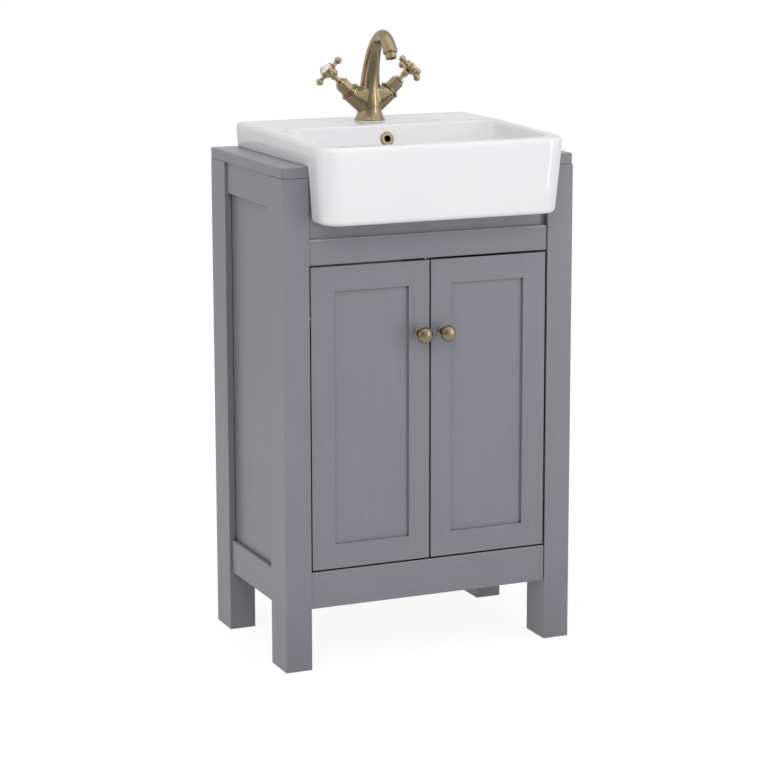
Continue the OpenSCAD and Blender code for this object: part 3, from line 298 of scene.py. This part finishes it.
# A lighter copy of the brass for the cross heads is a painted highlight, and a darker copy for
# the knobs is painted shade
HANDLE_BRASS_LIT = brass("antique_brass_handles_lit", tone=1.3)
KNOB_BRASS_SHADED = brass("antique_brass_knobs_shaded", tone=0.76, roughness=(0.2, 0.3))
STEEL = new_material("zinc_steel", steel_links, Metallic=1.0)
NYLON = new_material("white_nylon", grainy((0.78, 0.78, 0.75), roughness=0.42, scale=500))
RUBBER = new_material("black_rubber", grainy((0.032, 0.032, 0.032), roughness=0.62, scale=800))
# Inside the overflow hole: unglazed clay, painted near black as shade in the hole
SHADED_CLAY = new_material("unglazed_clay_shaded", grainy((0.070, 0.060, 0.050), roughness=0.85, scale=400))
FITTING_FINISH = {
    "white_glaze": GLAZE, "antique_brass": BRASS, "zinc_steel": STEEL,
    "white_nylon": NYLON, "black_rubber": RUBBER,
}


# Mesh helpers. Points nearer than this are one, in a CAD mesh and in a mesh made here. Angles
# are in degrees: CAD faces this flat are one, and edges from there on are softened or sharp.

CAD_MERGE, MERGE = 1e-6, 1e-7
FLAT_WITHIN, SOFTEN_FROM, SHARP_FROM = 0.6, 30, 50
FINE_STEPS = 96


def show(name, mesh, *finishes):
    """A new object with those finishes on its slots."""
    obj = bpy.data.objects.new(name, mesh)
    mesh.materials.clear()
    for finish in finishes:
        mesh.materials.append(finish)
    bpy.context.scene.collection.objects.link(obj)
    return obj


def stands_for(obj, *nodes):
    """obj rides on its nodes' body and is shown instead of them."""
    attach(obj, BODY_OF[nodes[0]])
    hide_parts(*nodes)


def mesh_from(bm, name):
    """A mesh with the BMesh's faces. The BMesh is freed."""
    mesh = bpy.data.meshes.new(name)
    bm.to_mesh(mesh)
    bm.free()
    return mesh


def modifier(obj, kind, **settings):
    """Adds a modifier with its settings."""
    added = obj.modifiers.new(kind.lower(), kind)
    for key, value in settings.items():
        setattr(added, key, value)


def apply_all(obj):
    """Turns the object's modifiers into its mesh."""
    graph = bpy.context.evaluated_depsgraph_get()
    graph.update()
    mesh = bpy.data.meshes.new_from_object(obj.evaluated_get(graph))
    old = obj.data
    obj.modifiers.clear()
    obj.data = mesh
    bpy.data.meshes.remove(old)


def shade(obj, sharp_degrees=38):
    """Smooth shading, with sharp edges from that angle on."""
    mesh = obj.data
    mesh.polygons.foreach_set("use_smooth", [True] * len(mesh.polygons))
    mesh.set_sharp_from_angle(angle=math.radians(sharp_degrees))
    return obj


def clean_copy(node):
    """The node's mesh with its flat faces whole again."""
    mesh = NODES[node].data.copy()
    bm = bmesh.new()
    bm.from_mesh(mesh)
    bmesh.ops.remove_doubles(bm, verts=bm.verts, dist=CAD_MERGE)
    bmesh.ops.dissolve_limit(bm, angle_limit=math.radians(FLAT_WITHIN), verts=bm.verts,
                             edges=bm.edges)
    bm.to_mesh(mesh)
    bm.free()
    return mesh


def dress(node, finish, width_mm, edge=None, segments=3):
    """The node with softened edges and its finish, in place of the CAD solid."""
    obj = show(node + "_finish", clean_copy(node), finish, edge or finish)
    for face in obj.data.polygons:
        face.material_index = 0
    modifier(obj, "BEVEL", width=mm(width_mm), segments=segments, limit_method="ANGLE",
             angle_limit=math.radians(SOFTEN_FROM), material=1, use_clamp_overlap=True,
             miter_outer="MITER_ARC")
    apply_all(obj)
    shade(obj, SHARP_FROM)
    modifier(obj, "WEIGHTED_NORMAL", weight=80, keep_sharp=True)
    apply_all(obj)
    low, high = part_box(node)
    for vertex in obj.data.vertices:
        vertex.co = [min(max(c, a), b) for c, a, b in zip(vertex.co, low, high)]
    stands_for(obj, node)


def skin(name, rows, finish, wrap=False, caps=False):
    """A mesh of closed rings of points, each joined to the next."""
    bm = bmesh.new()
    rings = [[bm.verts.new(p) for p in row] for row in rows]
    count = len(rings[0])
    pairs = list(zip(rings, rings[1:])) + ([(rings[-1], rings[0])] if wrap else [])
    for low, high in pairs:
        for k in range(count):
            j = (k + 1) % count
            bm.faces.new((low[k], low[j], high[j], high[k]))
    if caps:
        bm.faces.new(rings[0])
        bm.faces.new(rings[-1])
    bmesh.ops.remove_doubles(bm, verts=bm.verts, dist=MERGE)
    bmesh.ops.dissolve_degenerate(bm, dist=MERGE, edges=bm.edges)
    bmesh.ops.recalc_face_normals(bm, faces=bm.faces)
    return show(name, mesh_from(bm, name), finish)


def circle(place, radius, height, steps=48):
    """Points round the place's own Z, with radius and height in mm."""
    turns = [2 * math.pi * k / steps for k in range(steps)]
    return [place @ mm(radius * math.cos(a), radius * math.sin(a), height) for a in turns]


def lathe(name, profile, finish, place=Matrix.Identity(4), steps=72):
    """A turned piece: profile is (radius, height) in mm, from axis to axis."""
    return skin(name, [circle(place, r, z, steps) for r, z in profile], finish)


def cylinder(radius, low, high):
    """The profile of a plain cylinder, in mm."""
    return (0, low), (radius, low), (radius, high), (0, high)


def box_at(name, low, high, finish):
    """A plain block between two corners, given in mm from the posts' front faces."""
    low, high = local(*low), local(*high)
    corners = ((low.x, low.y), (high.x, low.y), (high.x, high.y), (low.x, high.y))
    rows = [[Vector((x, y, z)) for x, y in corners] for z in (low.z, high.z)]
    return skin(name, rows, finish, caps=True)


def wrapped(name, points, finish):
    """The skin stretched round some points."""
    bm = bmesh.new()
    for point in points:
        bm.verts.new(point)
    bmesh.ops.convex_hull(bm, input=bm.verts)
    return show(name, mesh_from(bm, name), finish)


def combine(obj, tool, operation="DIFFERENCE"):
    """Cuts the tool out of the object or joins it on. The new faces keep the tool's finish."""
    modifier(obj, "BOOLEAN", object=tool, operation=operation, solver="EXACT",
             material_mode="TRANSFER")
    apply_all(obj)
    bpy.data.objects.remove(tool)


def join(obj, *others):
    """Adds the others' meshes to obj's, as separate shells."""
    bm = bmesh.new()
    for part in (obj, *others):
        bm.from_mesh(part.data)
    bm.to_mesh(obj.data)
    bm.free()
    for part in others:
        bpy.data.objects.remove(part)


def soften(obj, voxel_mm, passes):
    """Melts the shells into one skin and rounds every edge a little."""
    modifier(obj, "REMESH", mode="VOXEL", voxel_size=mm(voxel_mm), use_smooth_shade=True)
    modifier(obj, "SMOOTH", factor=0.5, iterations=passes)
    apply_all(obj)
    shade(obj, 180)


# Painted wood: posts and rails have their own brush directions. Edges are softened by these mm
POST_EDGE, LEDGE_EDGE, SLAB_EDGE = 1.5, 2.0, 1.8
DOOR_EDGE, DOOR_PANEL_EDGE = 0.8, 0.3
FASCIA_EDGE, BOARD_EDGE = 0.4, 0.5
WOOD = {
    "Z": ["front_left_post", "front_right_post", "rear_left_post", "rear_right_post",
          "left_side_panel", "right_side_panel"],
    "X": ["front_bottom_rail"],
    "Y": ["left_top_rail", "left_bottom_rail", "right_top_rail", "right_bottom_rail"],
}
DOOR_WOOD = {"hinge_stile": "Z", "meeting_stile": "Z", "panel": "Z",
             "top_rail": "X", "bottom_rail": "X"}

for axis, nodes in WOOD.items():
    for node in nodes:
        dress(node, PAINT[axis], POST_EDGE, PAINT_EDGE)
# Painted highlight on the rail's ledge and on the slab's top
dress("front_rail", LEDGE_HIGHLIT_PAINT, LEDGE_EDGE)
# Fascia painted paler, as light in the basin's shade
dress("fascia_board", FASCIA_LIT_PAINT, FASCIA_EDGE)
dress("top_slab", SLAB_TOP_LIT_PAINT, SLAB_EDGE, PAINT_EDGE, segments=4)
for side in SIDES:
    for part, axis in DOOR_WOOD.items():
        width = DOOR_PANEL_EDGE if part == "panel" else DOOR_EDGE
        dress(f"{side}_door_{part}", PAINT[axis], width, PAINT_EDGE)
for node in ("rear_top_rail", "rear_bottom_rail", "back_panel", "base_panel", "shelf"):
    dress(node, BOARD, BOARD_EDGE)


# Basin, ring by ring, in mm from the posts' front faces. Every ring has the same number of
# points, and KNEE_Y is where the apron ends and the part that stands on the slab begins.
# Without a knee the sides' last points are spread over the part after SKIRT_START.

SIDE_STEPS, SKIRT_STEPS = 9, 3
CORNER_STEPS, RUN_STEPS = 10, 14
KNEE_Y, KNEE_GAP = -1.0, 0.4
SKIRT_START, SKIRT_OFFSET = 0.88, 0.15

SLAB_Z = 820
RIM_REAR_Z, RIM_FRONT_Z = 861, 855
RIM_RISE_Y, RIM_RISE_LENGTH = -60, 236
RIM_INNER_R, RIM_OUTER_R = 5.0, 8.0
FLOOR_Z, FLOOR_R = 750, 35
BOWL_LEVELS = (794, 808, 820, 834, 846)
WALL = 12
# The apron: its lower edge, a height about half way up, and the pocket's top behind it; the
# lower edge's radius, and its thickness from there up. Behind it the wall's foot is eased.
APRON_Z, APRON_MID_Z, POCKET_Z = 731, 780, 800
FOOT_R, APRON_THICK = 8, (12.2, 13, 13.4)
WALL_EASE = 1.4
# Heights where the bowl's outside meets the pocket in front, and the slab's plane elsewhere
BOWL_IN_POCKET, BOWL_OVER_SLAB = (798, 793), 802

# Bowl: half width, front, rear and corner radius
BOWL_FLOOR = (141, 5, 125, 0)
BOWL_AT_SLAB = (185, -46, 172, 40)
BOWL_AT_RIM = (193, -50, 180, 40)
# Outer wall: half width, front, rear, front corner radius and rear corner radius
WALL_AT_SLAB = (211, -66.5, 324.5, 34, 12)
WALL_AT_RIM = (213, -68, 326, 34, 12)
WALL_AT_FOOT = (205, -61.5, 324.5, 34, 12)

# Radius and height: of the waste's hole and seat, upward, and of the collar round it, downward
SEAT_R = 33.6
SEAT = ((23, 720), (23, 745.7), (23.6, 746.5), (32.6, 746.5), (32.75, 749.2), (SEAT_R, FLOOR_Z))
UNDER_Z = FLOOR_Z - WALL
COLLAR = ((34.2, UNDER_Z), (33.5, UNDER_Z - 1.5), (33.5, 721), (32.5, 720))

# Turns of a quarter circle in degrees, from an edge's upright side to its flat one
QUARTER = (0, 22, 45, 68, 90)


def between(a, b, t):
    """a to b as t goes from 0 to 1, number by number."""
    return tuple(p + (q - p) * t for p, q in zip(a, b))


def midway(first, second, t):
    """An outline between two others."""
    return [between(p, q, t) for p, q in zip(first, second)]


def corner(x, y, r, start):
    """Points on the quarter circle round (x, y) that starts at that angle."""
    turns = [math.radians(start + 90 * k / CORNER_STEPS) for k in range(CORNER_STEPS + 1)]
    return [(x + r * math.cos(a), y + r * math.sin(a)) for a in turns]


def run(x0, x1, y):
    """Points inside the straight line from x0 to x1."""
    return [(x0 + (x1 - x0) * k / RUN_STEPS, y) for k in range(1, RUN_STEPS)]


def ring(half_width, y0, y1, front_r, rear_r, knee=False):
    """Points (x, y) from the left rear, round the front, and back to the left rear.

    With knee, two points of each side stand just behind and just at the apron's end."""
    rear_end, front_end = y1 - rear_r, y0 + front_r
    if knee:
        stop = KNEE_Y + KNEE_GAP
        fore = [KNEE_Y + (front_end - KNEE_Y) * k / SKIRT_STEPS for k in range(SKIRT_STEPS)]
    else:
        stop = rear_end + (front_end - rear_end) * SKIRT_START
        fore = [stop + (front_end - stop) * (k + SKIRT_OFFSET) / SKIRT_STEPS
                for k in range(SKIRT_STEPS)]
    back = [rear_end + (stop - rear_end) * k / SIDE_STEPS for k in range(SIDE_STEPS + 1)]
    side = back + fore
    cf, cr = half_width - front_r, half_width - rear_r
    left = [(-half_width, y) for y in side[1:]]
    right = [(half_width, y) for y in reversed(side[1:])]
    return (left + corner(-cf, front_end, front_r, 180) + run(-cf, cf, y0)
            + corner(cf, front_end, front_r, 270) + right
            + corner(cr, rear_end, rear_r, 0) + run(cr, -cr, y1)
            + corner(-cr, rear_end, rear_r, 90))


def grown(size, d):
    """The bowl's size with every side moved out by d."""
    half, y0, y1, corner_r = size
    return half + d, y0 - d, y1 + d, corner_r + d


def bowl_ring(z, grow):
    """The bowl's outline at height z: 0 grown is its inside, WALL its outside."""
    centre_z = FLOOR_Z + FLOOR_R
    radius = FLOOR_R + grow
    at_slab = grown(BOWL_AT_SLAB, grow)
    if z < centre_z:
        size = grown(BOWL_FLOOR, math.sqrt(max(radius ** 2 - (centre_z - z) ** 2, 1e-4)))
    elif z < SLAB_Z:
        share = (z - centre_z) / (SLAB_Z - centre_z)
        size = between(grown(BOWL_FLOOR, radius), at_slab, share)
    else:
        share = (z - SLAB_Z) / (RIM_REAR_Z - SLAB_Z)
        size = between(at_slab, grown(BOWL_AT_RIM, grow), share)
    half, y0, y1, corner_r = size
    return ring(half, y0, y1, corner_r, corner_r)


def inset(size, d):
    """The outer wall's outline, moved in by d."""
    half, y0, y1, front_r, rear_r = size
    return ring(half - d, y0 + d, y1 - d, max(front_r - d, 1), max(rear_r - d, 1), knee=True)


def rim_z(y):
    """Height of the rim, which rises from the front to the tap ledge."""
    t = min(max((y - RIM_RISE_Y) / RIM_RISE_LENGTH, 0), 1)
    return RIM_FRONT_Z + (RIM_REAR_Z - RIM_FRONT_Z) * t


def circle_like(outline, radius):
    """The outline's points moved onto a circle round the waste."""
    waste_y = (WASTE_Y - FRONT_Y) * 1000
    points = []
    for x, y in outline:
        a = math.atan2(y - waste_y, x)
        points.append((radius * math.cos(a), waste_y + radius * math.sin(a)))
    return points


def level(outline, z):
    """The outline as a ring at one height."""
    return [(x, y, z) for x, y in outline]


def rounding(radius, degrees):
    """How far in and how far short of its end a rounded edge is at that turn."""
    a = math.radians(degrees)
    return radius * (1 - math.cos(a)), radius * (1 - math.sin(a))


def bowl_rows(floor):
    """The waste's seat, the floor round it and the inside of the bowl."""
    rows = [level(circle_like(floor, radius), z) for radius, z in SEAT]
    near = circle_like(floor, SEAT_R)
    rows += [level(midway(near, floor, share), FLOOR_Z) for share in (0.3, 0.65)]
    heights = [FLOOR_Z + FLOOR_R - FLOOR_R * math.cos(math.radians(turn))
               for turn in range(8, 81, 12)]
    return rows + [level(bowl_ring(z, 0), z) for z in (*heights, *BOWL_LEVELS)]


def rim_rows():
    """The rim's inner edge, its top, its outer edge and the wall below."""
    inner = bowl_ring(RIM_REAR_Z - RIM_INNER_R, 0)
    wider = bowl_ring(RIM_REAR_Z - RIM_INNER_R, 1)
    outward = [(q[0] - p[0], q[1] - p[1]) for p, q in zip(inner, wider)]
    rows = []
    for turn in QUARTER:
        out, down = rounding(RIM_INNER_R, turn)
        rows.append([(x + o[0] * out, y + o[1] * out, rim_z(y) - down)
                     for (x, y), o in zip(inner, outward)])
    flat_in = [(x, y) for x, y, z in rows[-1]]
    flat_out = inset(WALL_AT_RIM, RIM_OUTER_R)
    for share in (0.35, 0.7):
        rows.append([(x, y, rim_z(y)) for x, y in midway(flat_in, flat_out, share)])
    for turn in range(90, -1, -18):
        into, down = rounding(RIM_OUTER_R, turn)
        rows.append([(x, y, rim_z(y) - down) for x, y in inset(WALL_AT_RIM, into)])
    half_way = inset(between(WALL_AT_SLAB, WALL_AT_RIM, 0.5), 0)
    rows.append([(x, y, (SLAB_Z + rim_z(y) - RIM_OUTER_R) / 2) for x, y in half_way])
    return rows


def apron_rows():
    """In front the rings go down the apron and up its rear face, and the rest stays on the slab
    and goes in to the bowl. Each entry is the front's outline and height, then the rest's."""
    wall = inset(WALL_AT_SLAB, 0)
    hung = bowl_ring(SLAB_Z, WALL)

    def apron(z, d):
        share = (SLAB_Z - z) / (SLAB_Z - APRON_Z - FOOT_R)
        return inset(between(WALL_AT_SLAB, WALL_AT_FOOT, min(share, 1)), d)

    def under(d):
        return inset(WALL_AT_SLAB, d)

    entries = [(wall, SLAB_Z, wall, SLAB_Z + WALL_EASE),
               (apron(APRON_MID_Z, 0), APRON_MID_Z, under(0.8), SLAB_Z + 0.3)]
    for step, turn in enumerate(QUARTER):
        into, up = rounding(FOOT_R, turn)
        z = APRON_Z + up
        entries.append((apron(z, into), z, under(1.8 + step), SLAB_Z))
    foot, above, top = APRON_THICK
    meets, below = BOWL_IN_POCKET
    entries += [
        (apron(APRON_Z, foot), APRON_Z, under(10), SLAB_Z),
        (apron(APRON_Z + 1, above), APRON_Z + 1, under(11), SLAB_Z),
        (apron(POCKET_Z, top), POCKET_Z, midway(under(13), hung, 0.5), SLAB_Z),
        (bowl_ring(meets, WALL), meets, hung, SLAB_Z),
        (bowl_ring(below, WALL), below, bowl_ring(BOWL_OVER_SLAB, WALL), BOWL_OVER_SLAB),
    ]
    in_front = [y <= KNEE_Y + 0.01 for x, y in wall]
    return [[(*f, front_z) if is_front else (*r, rest_z)
             for f, r, is_front in zip(front, rest, in_front)]
            for front, front_z, rest, rest_z in entries]


def underside_rows(floor):
    """The bowl's outside, down to the waste's hole."""
    heights = [FLOOR_Z + FLOOR_R - (FLOOR_R + WALL) * math.cos(math.radians(turn))
               for turn in range(90, 0, -15)]
    rows = [level(bowl_ring(z, WALL), z) for z in heights]
    bottom = bowl_ring(UNDER_Z + 0.1, WALL)
    rows.append(level(midway(bottom, circle_like(floor, 34), 0.5), UNDER_Z))
    return rows + [level(circle_like(floor, radius), z) for radius, z in COLLAR]


bowl_floor = bowl_ring(FLOOR_Z + 0.15, 0)
basin_rows = bowl_rows(bowl_floor) + rim_rows() + apron_rows() + underside_rows(bowl_floor)
basin = skin("basin_glazed", [[local(*point) for point in row] for row in basin_rows], GLAZE,
             wrap=True)

# The hollow under the tap ledge, the overflow's duct, and the two round holes. The overflow's
# hole stands square to the bowl's rear wall, which leans back by 8 in 42.
LEDGE_HOLLOW = ((-185, 193, 815), (185, 310.5, 847))
OVERFLOW_DUCT = ((-13, 181, 722.5), (13, 209, 849))
TAP_HOLE, OVERFLOW_HOLE = cylinder(17.5, -60, 5), cylinder(10, -24, 9)
OVERFLOW_PLACE, REAR_WALL_LEAN = (0, 175.2, 837), math.atan(8 / 42)

tap_place = Matrix.Translation(TAP_BASE)
ring_place = (Matrix.Translation(local(*OVERFLOW_PLACE))
              @ Matrix.Rotation(math.pi / 2 - REAR_WALL_LEAN, 4, "X"))
combine(basin, box_at("ledge_hollow", *LEDGE_HOLLOW, GLAZE))
combine(basin, box_at("overflow_duct", *OVERFLOW_DUCT, GLAZE), "UNION")
combine(basin, lathe("tap_hole", TAP_HOLE, GLAZE, tap_place))
combine(basin, lathe("overflow_hole", OVERFLOW_HOLE, SHADED_CLAY, ring_place))
shade(basin, 35)
stands_for(basin, "basin")


# Waste and small fittings, with the width of each one's softened edges in mm

PLUG_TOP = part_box("waste_plug")[1].z
PLUG = ((0, -76.5), (3.4, -76.5), (4, -75.8), (4, -6), (28, -5), (29.6, -4.6), (30, -3.9),
        (30, -3.2), (29.5, -2.4), (28, -1.8), (22, -0.9), (12, -0.2), (0, 0))
FITTING_EDGES = {
    "overflow_ring": 0.6, "waste_body": 0.5, "waste_washers": 0.25, "waste_backnut": 0.8,
    "tap_gasket": 0.2, "tap_stud": 0.4, "tap_retaining_plate": 0.3, "tap_nut": 0.4,
    "aerator": 0.5, "left_bonnet": 0.4, "right_bonnet": 0.4, "left_spindle": 0.4,
    "right_spindle": 0.4, "left_index_disc": 0.3, "right_index_disc": 0.3, "shelf_pins": 0.5,
    "hinge_arms": 0.3, "hinge_screws": 0.3, "left_hinge_cups": 0.3, "right_hinge_cups": 0.3,
    "left_hinge_pins": 0.2, "right_hinge_pins": 0.2, "left_knob_screw": 0.3,
    "right_knob_screw": 0.3,
}

plug_place = Matrix.Translation(Vector((0, WASTE_Y, PLUG_TOP)))
plug = lathe("waste_plug_domed", PLUG, BRASS, plug_place)
stands_for(shade(plug), "waste_plug")
for node, width in FITTING_EDGES.items():
    dress(node, FITTING_FINISH[SLOT_OF[node]], width, segments=2)


# Knobs, turned about their own axes: a rose and a neck, then a flattened ball, in mm

KNOB_NECK = [(0, 0), (8.3, 0), (8.5, 0.3), (8.5, 0.9), (8.2, 1.4), (7.6, 1.8), (6.9, 2.2),
             (6.0, 3.2), (5.3, 5.2), (4.9, 8), (4.8, 12), (5.0, 15), (5.5, 17.6)]
BALL_NECK_R, BALL_R = 5.9, 13.2
BALL_HALF_THICK, BALL_CENTRE = 8, 26
BALL_STEPS = 24


def knob_profile():
    """The whole knob, as (radius, height) from the door."""
    start = math.asin(BALL_NECK_R / BALL_R)
    ball = []
    for k in range(BALL_STEPS + 1):
        a = start + (math.pi - start) * k / BALL_STEPS
        ball.append((BALL_R * math.sin(a), BALL_CENTRE - BALL_HALF_THICK * math.cos(a)))
    ball[-1] = (0, ball[-1][1])
    return KNOB_NECK + ball


for side in SIDES:
    low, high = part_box(f"{side}_knob")
    face = Vector(((low.x + high.x) / 2, high.y, (low.z + high.z) / 2))
    place = Matrix.Translation(face) @ Matrix.Rotation(math.pi / 2, 4, "X")
    knob = lathe(f"{side}_knob_turned", knob_profile(), KNOB_BRASS_SHADED, place, FINE_STEPS)
    stands_for(shade(knob), f"{side}_knob")


# Tap, in mm from its base. The spout follows a Bezier curve of (reach, height), with a radius
# at its start, its middle and its end.

SPOUT = ((0, 43), (5, 138), (64, 173), (88, 117))
SPOUT_RADII = (17.8, 6.2, 12.4)
SPOUT_RINGS, SPOUT_SIDES = 90, 64
COLUMN = ((0, -7), (16, -7), (16, 0), (26.3, 0), (26.3, 0.8), (25.6, 2.2), (24.2, 4.4),
          (22.9, 7), (21.6, 10.5), (20.4, 14), (19.7, 17.5), (19.4, 21), (19.4, 27),
          (18.9, 34), (17.8, 43), (0, 43))
ARM_HEIGHT, ARM_LENGTH, ARM_LEAN = 15, 47.5, 47
ARM = ((0, 0), (14.2, 0), (16, ARM_LENGTH), (0, ARM_LENGTH))
WEB_ARM_R, WEB_COLUMN_R = 15.6, 16
WEB_LOW, WEB_HIGH = 23, 53


def spout_rows():
    """Rings square to the spout's centre line."""
    rows = []
    for i in range(SPOUT_RINGS + 1):
        t = i / SPOUT_RINGS
        u = 1 - t
        centre = [u ** 3 * a + 3 * u * u * t * b + 3 * u * t * t * c + t ** 3 * d
                  for a, b, c, d in zip(*SPOUT)]
        slope = [3 * u * u * (b - a) + 6 * u * t * (c - b) + 3 * t * t * (d - c)
                 for a, b, c, d in zip(*SPOUT)]
        length = math.hypot(*slope)
        r = u * u * SPOUT_RADII[0] + 2 * u * t * SPOUT_RADII[1] + t * t * SPOUT_RADII[2]
        row = []
        for k in range(SPOUT_SIDES):
            a = 2 * math.pi * k / SPOUT_SIDES
            out = r * math.sin(a)
            reach = centre[0] + out * slope[1] / length
            height = centre[1] - out * slope[0] / length
            row.append(TAP_BASE + mm(r * math.cos(a), -reach, height))
        rows.append(row)
    return rows


column = lathe("tap_body_cast", COLUMN, BRASS, tap_place, FINE_STEPS)
spout = skin("spout", spout_rows(), BRASS, caps=True)
arms = []
for direction in (-1, 1):
    lean = Matrix.Rotation(math.radians(ARM_LEAN) * direction, 4, "Y")
    place = tap_place @ Matrix.Translation(mm(0, 0, ARM_HEIGHT)) @ lean
    arms.append(lathe("arm", ARM, BRASS, place))
    arm_end = circle(place, WEB_ARM_R, ARM_LENGTH - 1)
    column_ends = [circle(tap_place, WEB_COLUMN_R, height) for height in (WEB_LOW, WEB_HIGH)]
    arms.append(wrapped("web", arm_end + column_ends[0] + column_ends[1], BRASS))
join(column, spout, *arms)
soften(column, 0.75, 24)
stands_for(column, "tap_body")

for side in SIDES:
    node = f"{side}_cross_head"
    head = show(f"{node}_cast", clean_copy(node), HANDLE_BRASS_LIT)
    soften(head, 0.4, 4)
    stands_for(head, node)


# Floor, light and camera

FLOOR_PALE = ((0.69, 0.69, 0.69), (0.73, 0.73, 0.73))
FLOOR_WHITE, FLOOR_WHITE_SHARE = 1.13, 0.8
FLOOR_DISC = cylinder(2600, -2, 0)
FLOOR_DROP = mm(0.5)
WHITE = (1, 1, 1, 1)


def seen_directly(tree):
    """1 for rays of the camera, of reflections and through glass, and 0 for the light itself."""
    path = add(tree, "ShaderNodeLightPath").outputs
    first = maximum(tree, path["Is Camera Ray"], path["Is Glossy Ray"])
    return maximum(tree, first, path["Is Transmission Ray"])


def floor_material():
    """Pale floor that is seen as white, with the unit's soft shadow on it."""
    material = bpy.data.materials.new("studio_floor")
    material.use_nodes = True
    tree = material.node_tree
    tree.nodes.remove(tree.nodes["Principled BSDF"])
    pale = two_colours(tree, noise(tree, scale=3, detail=2), *FLOOR_PALE)
    lit = add(tree, "ShaderNodeBsdfDiffuse", {"Color": pale}).outputs[0]
    white = add(tree, "ShaderNodeEmission", {"Color": WHITE, "Strength": FLOOR_WHITE}).outputs[0]
    share = add(tree, "ShaderNodeMath", {0: seen_directly(tree), 1: FLOOR_WHITE_SHARE},
                operation="MULTIPLY").outputs[0]
    mixed = add(tree, "ShaderNodeMixShader", {0: share, 1: lit, 2: white})
    tree.links.new(mixed.outputs[0], tree.nodes["Material Output"].inputs[0])
    return material


floor = lathe("floor", FLOOR_DISC, floor_material(), steps=FINE_STEPS)
floor.location.z = -FLOOR_DROP

# The world lights everything evenly. Reflections see a studio that is darker in front: toward
# is how far a direction points along STUDIO_FRONT.
WORLD_LIGHT = 0.43
STUDIO_FRONT = (-0.40, -0.90, -0.17)
TOWARD_BACK, TOWARD_FRONT = 0.1, 0.85
REFLECTED_BACK, REFLECTED_FRONT = 0.88, 0.30


def build_world():
    """White to the camera, WORLD_LIGHT as a light, and the studio in reflections."""
    world = bpy.data.worlds.new("studio")
    bpy.context.scene.world = world
    world.use_nodes = True
    tree = world.node_tree
    path = add(tree, "ShaderNodeLightPath").outputs
    direction = add(tree, "ShaderNodeTexCoord").outputs["Generated"]
    toward = add(tree, "ShaderNodeVectorMath", {0: direction, 1: STUDIO_FRONT},
                 operation="DOT_PRODUCT").outputs["Value"]
    mirrored = remap(tree, toward, REFLECTED_BACK, REFLECTED_FRONT, TOWARD_BACK, TOWARD_FRONT)
    direct = blend_two(tree, mirrored, 1.0, path["Is Camera Ray"])
    strength = blend_two(tree, WORLD_LIGHT, direct, seen_directly(tree))
    background = tree.nodes["Background"]
    tree.links.new(strength, background.inputs["Strength"])
    background.inputs["Color"].default_value = WHITE


# Four broad lights: azimuth (0 in front, 90 on the right), height and spread in degrees, energy
SUNS = (("key", 40, 20, 80, 0.68), ("front", 5, 8, 80, 0.26),
        ("side", -80, 35, 90, 0.42), ("top", 0, 75, 60, 0.50))
# Two tall soft boxes that the metal mirrors: place in x and y, width, watts
SOFT_BOXES = (("box_right", 1.97, -2.4, 0.52, 13), ("box_left", -3.1, -0.4, 0.5, 5))
BOX_MIDDLE, BOX_HEIGHT = 1.15, 2.3
BOX_AIM = (0, 0.12, BOX_MIDDLE)
HIGH_LEFT_PLACE, HIGH_LEFT_AIM = (-1.25, -2.1, 1.9), (0, 0, 0.5)
HIGH_LEFT_WATTS, HIGH_LEFT_SIZE = 18, 1.1
ORIGIN = (0, 0, 0)


def lamp(name, kind, place, aim, **settings):
    """A lamp at a place, turned toward its aim."""
    light = bpy.data.lights.new(name, kind)
    for key, value in settings.items():
        setattr(light, key, value)
    obj = bpy.data.objects.new(name, light)
    obj.location = place
    obj.rotation_euler = (Vector(aim) - Vector(place)).to_track_quat("-Z", "Y").to_euler()
    bpy.context.scene.collection.objects.link(obj)
    return obj


def build_lamps():
    """The suns, a large lamp high on the left that nothing mirrors, and the soft boxes."""
    for name, azimuth, height, spread, energy in SUNS:
        a, e = math.radians(azimuth), math.radians(height)
        toward = (math.sin(a) * math.cos(e), -math.cos(a) * math.cos(e), math.sin(e))
        lamp(name, "SUN", toward, ORIGIN, energy=energy, angle=math.radians(spread))
    high_left = lamp("high_left", "AREA", HIGH_LEFT_PLACE, HIGH_LEFT_AIM, shape="SQUARE",
                     energy=HIGH_LEFT_WATTS, size=HIGH_LEFT_SIZE)
    high_left.visible_glossy = False
    for name, x, y, width, watts in SOFT_BOXES:
        lamp(name, "AREA", (x, y, BOX_MIDDLE), BOX_AIM, energy=watts, shape="RECTANGLE",
             size=width, size_y=BOX_HEIGHT)


# Camera: angles in radians, lens and sensor in mm
CAMERA_PLACE = (-1.669, -3.792, 1.292)
CAMERA_YAW, CAMERA_PITCH, CAMERA_ROLL = -0.412, -0.1925, -0.0016
CAMERA_LENS, CAMERA_SENSOR = 118.9, 36
CAMERA_SHIFT_X, CAMERA_SHIFT_Y = -0.0104, -0.0404
CAMERA_REACH = 60


def build_camera():
    """The camera of the photograph."""
    data = bpy.data.cameras.new("camera")
    data.lens = CAMERA_LENS
    data.sensor_width = CAMERA_SENSOR
    data.shift_x = CAMERA_SHIFT_X
    data.shift_y = CAMERA_SHIFT_Y
    data.clip_end = CAMERA_REACH
    camera = bpy.data.objects.new("camera", data)
    a, e = CAMERA_YAW, CAMERA_PITCH
    forward = Vector((-math.sin(a) * math.cos(e), math.cos(a) * math.cos(e), math.sin(e)))
    right = Vector((math.cos(a), math.sin(a), 0))
    up = right.cross(forward)
    turn = Matrix((right, up, -forward)).transposed().to_4x4()
    camera.matrix_world = (Matrix.Translation(CAMERA_PLACE) @ turn
                           @ Matrix.Rotation(CAMERA_ROLL, 4, "Z"))
    bpy.context.scene.collection.objects.link(camera)
    bpy.context.scene.camera = camera


build_world()
build_lamps()
build_camera()
bpy.context.scene.view_settings.view_transform = "Standard"
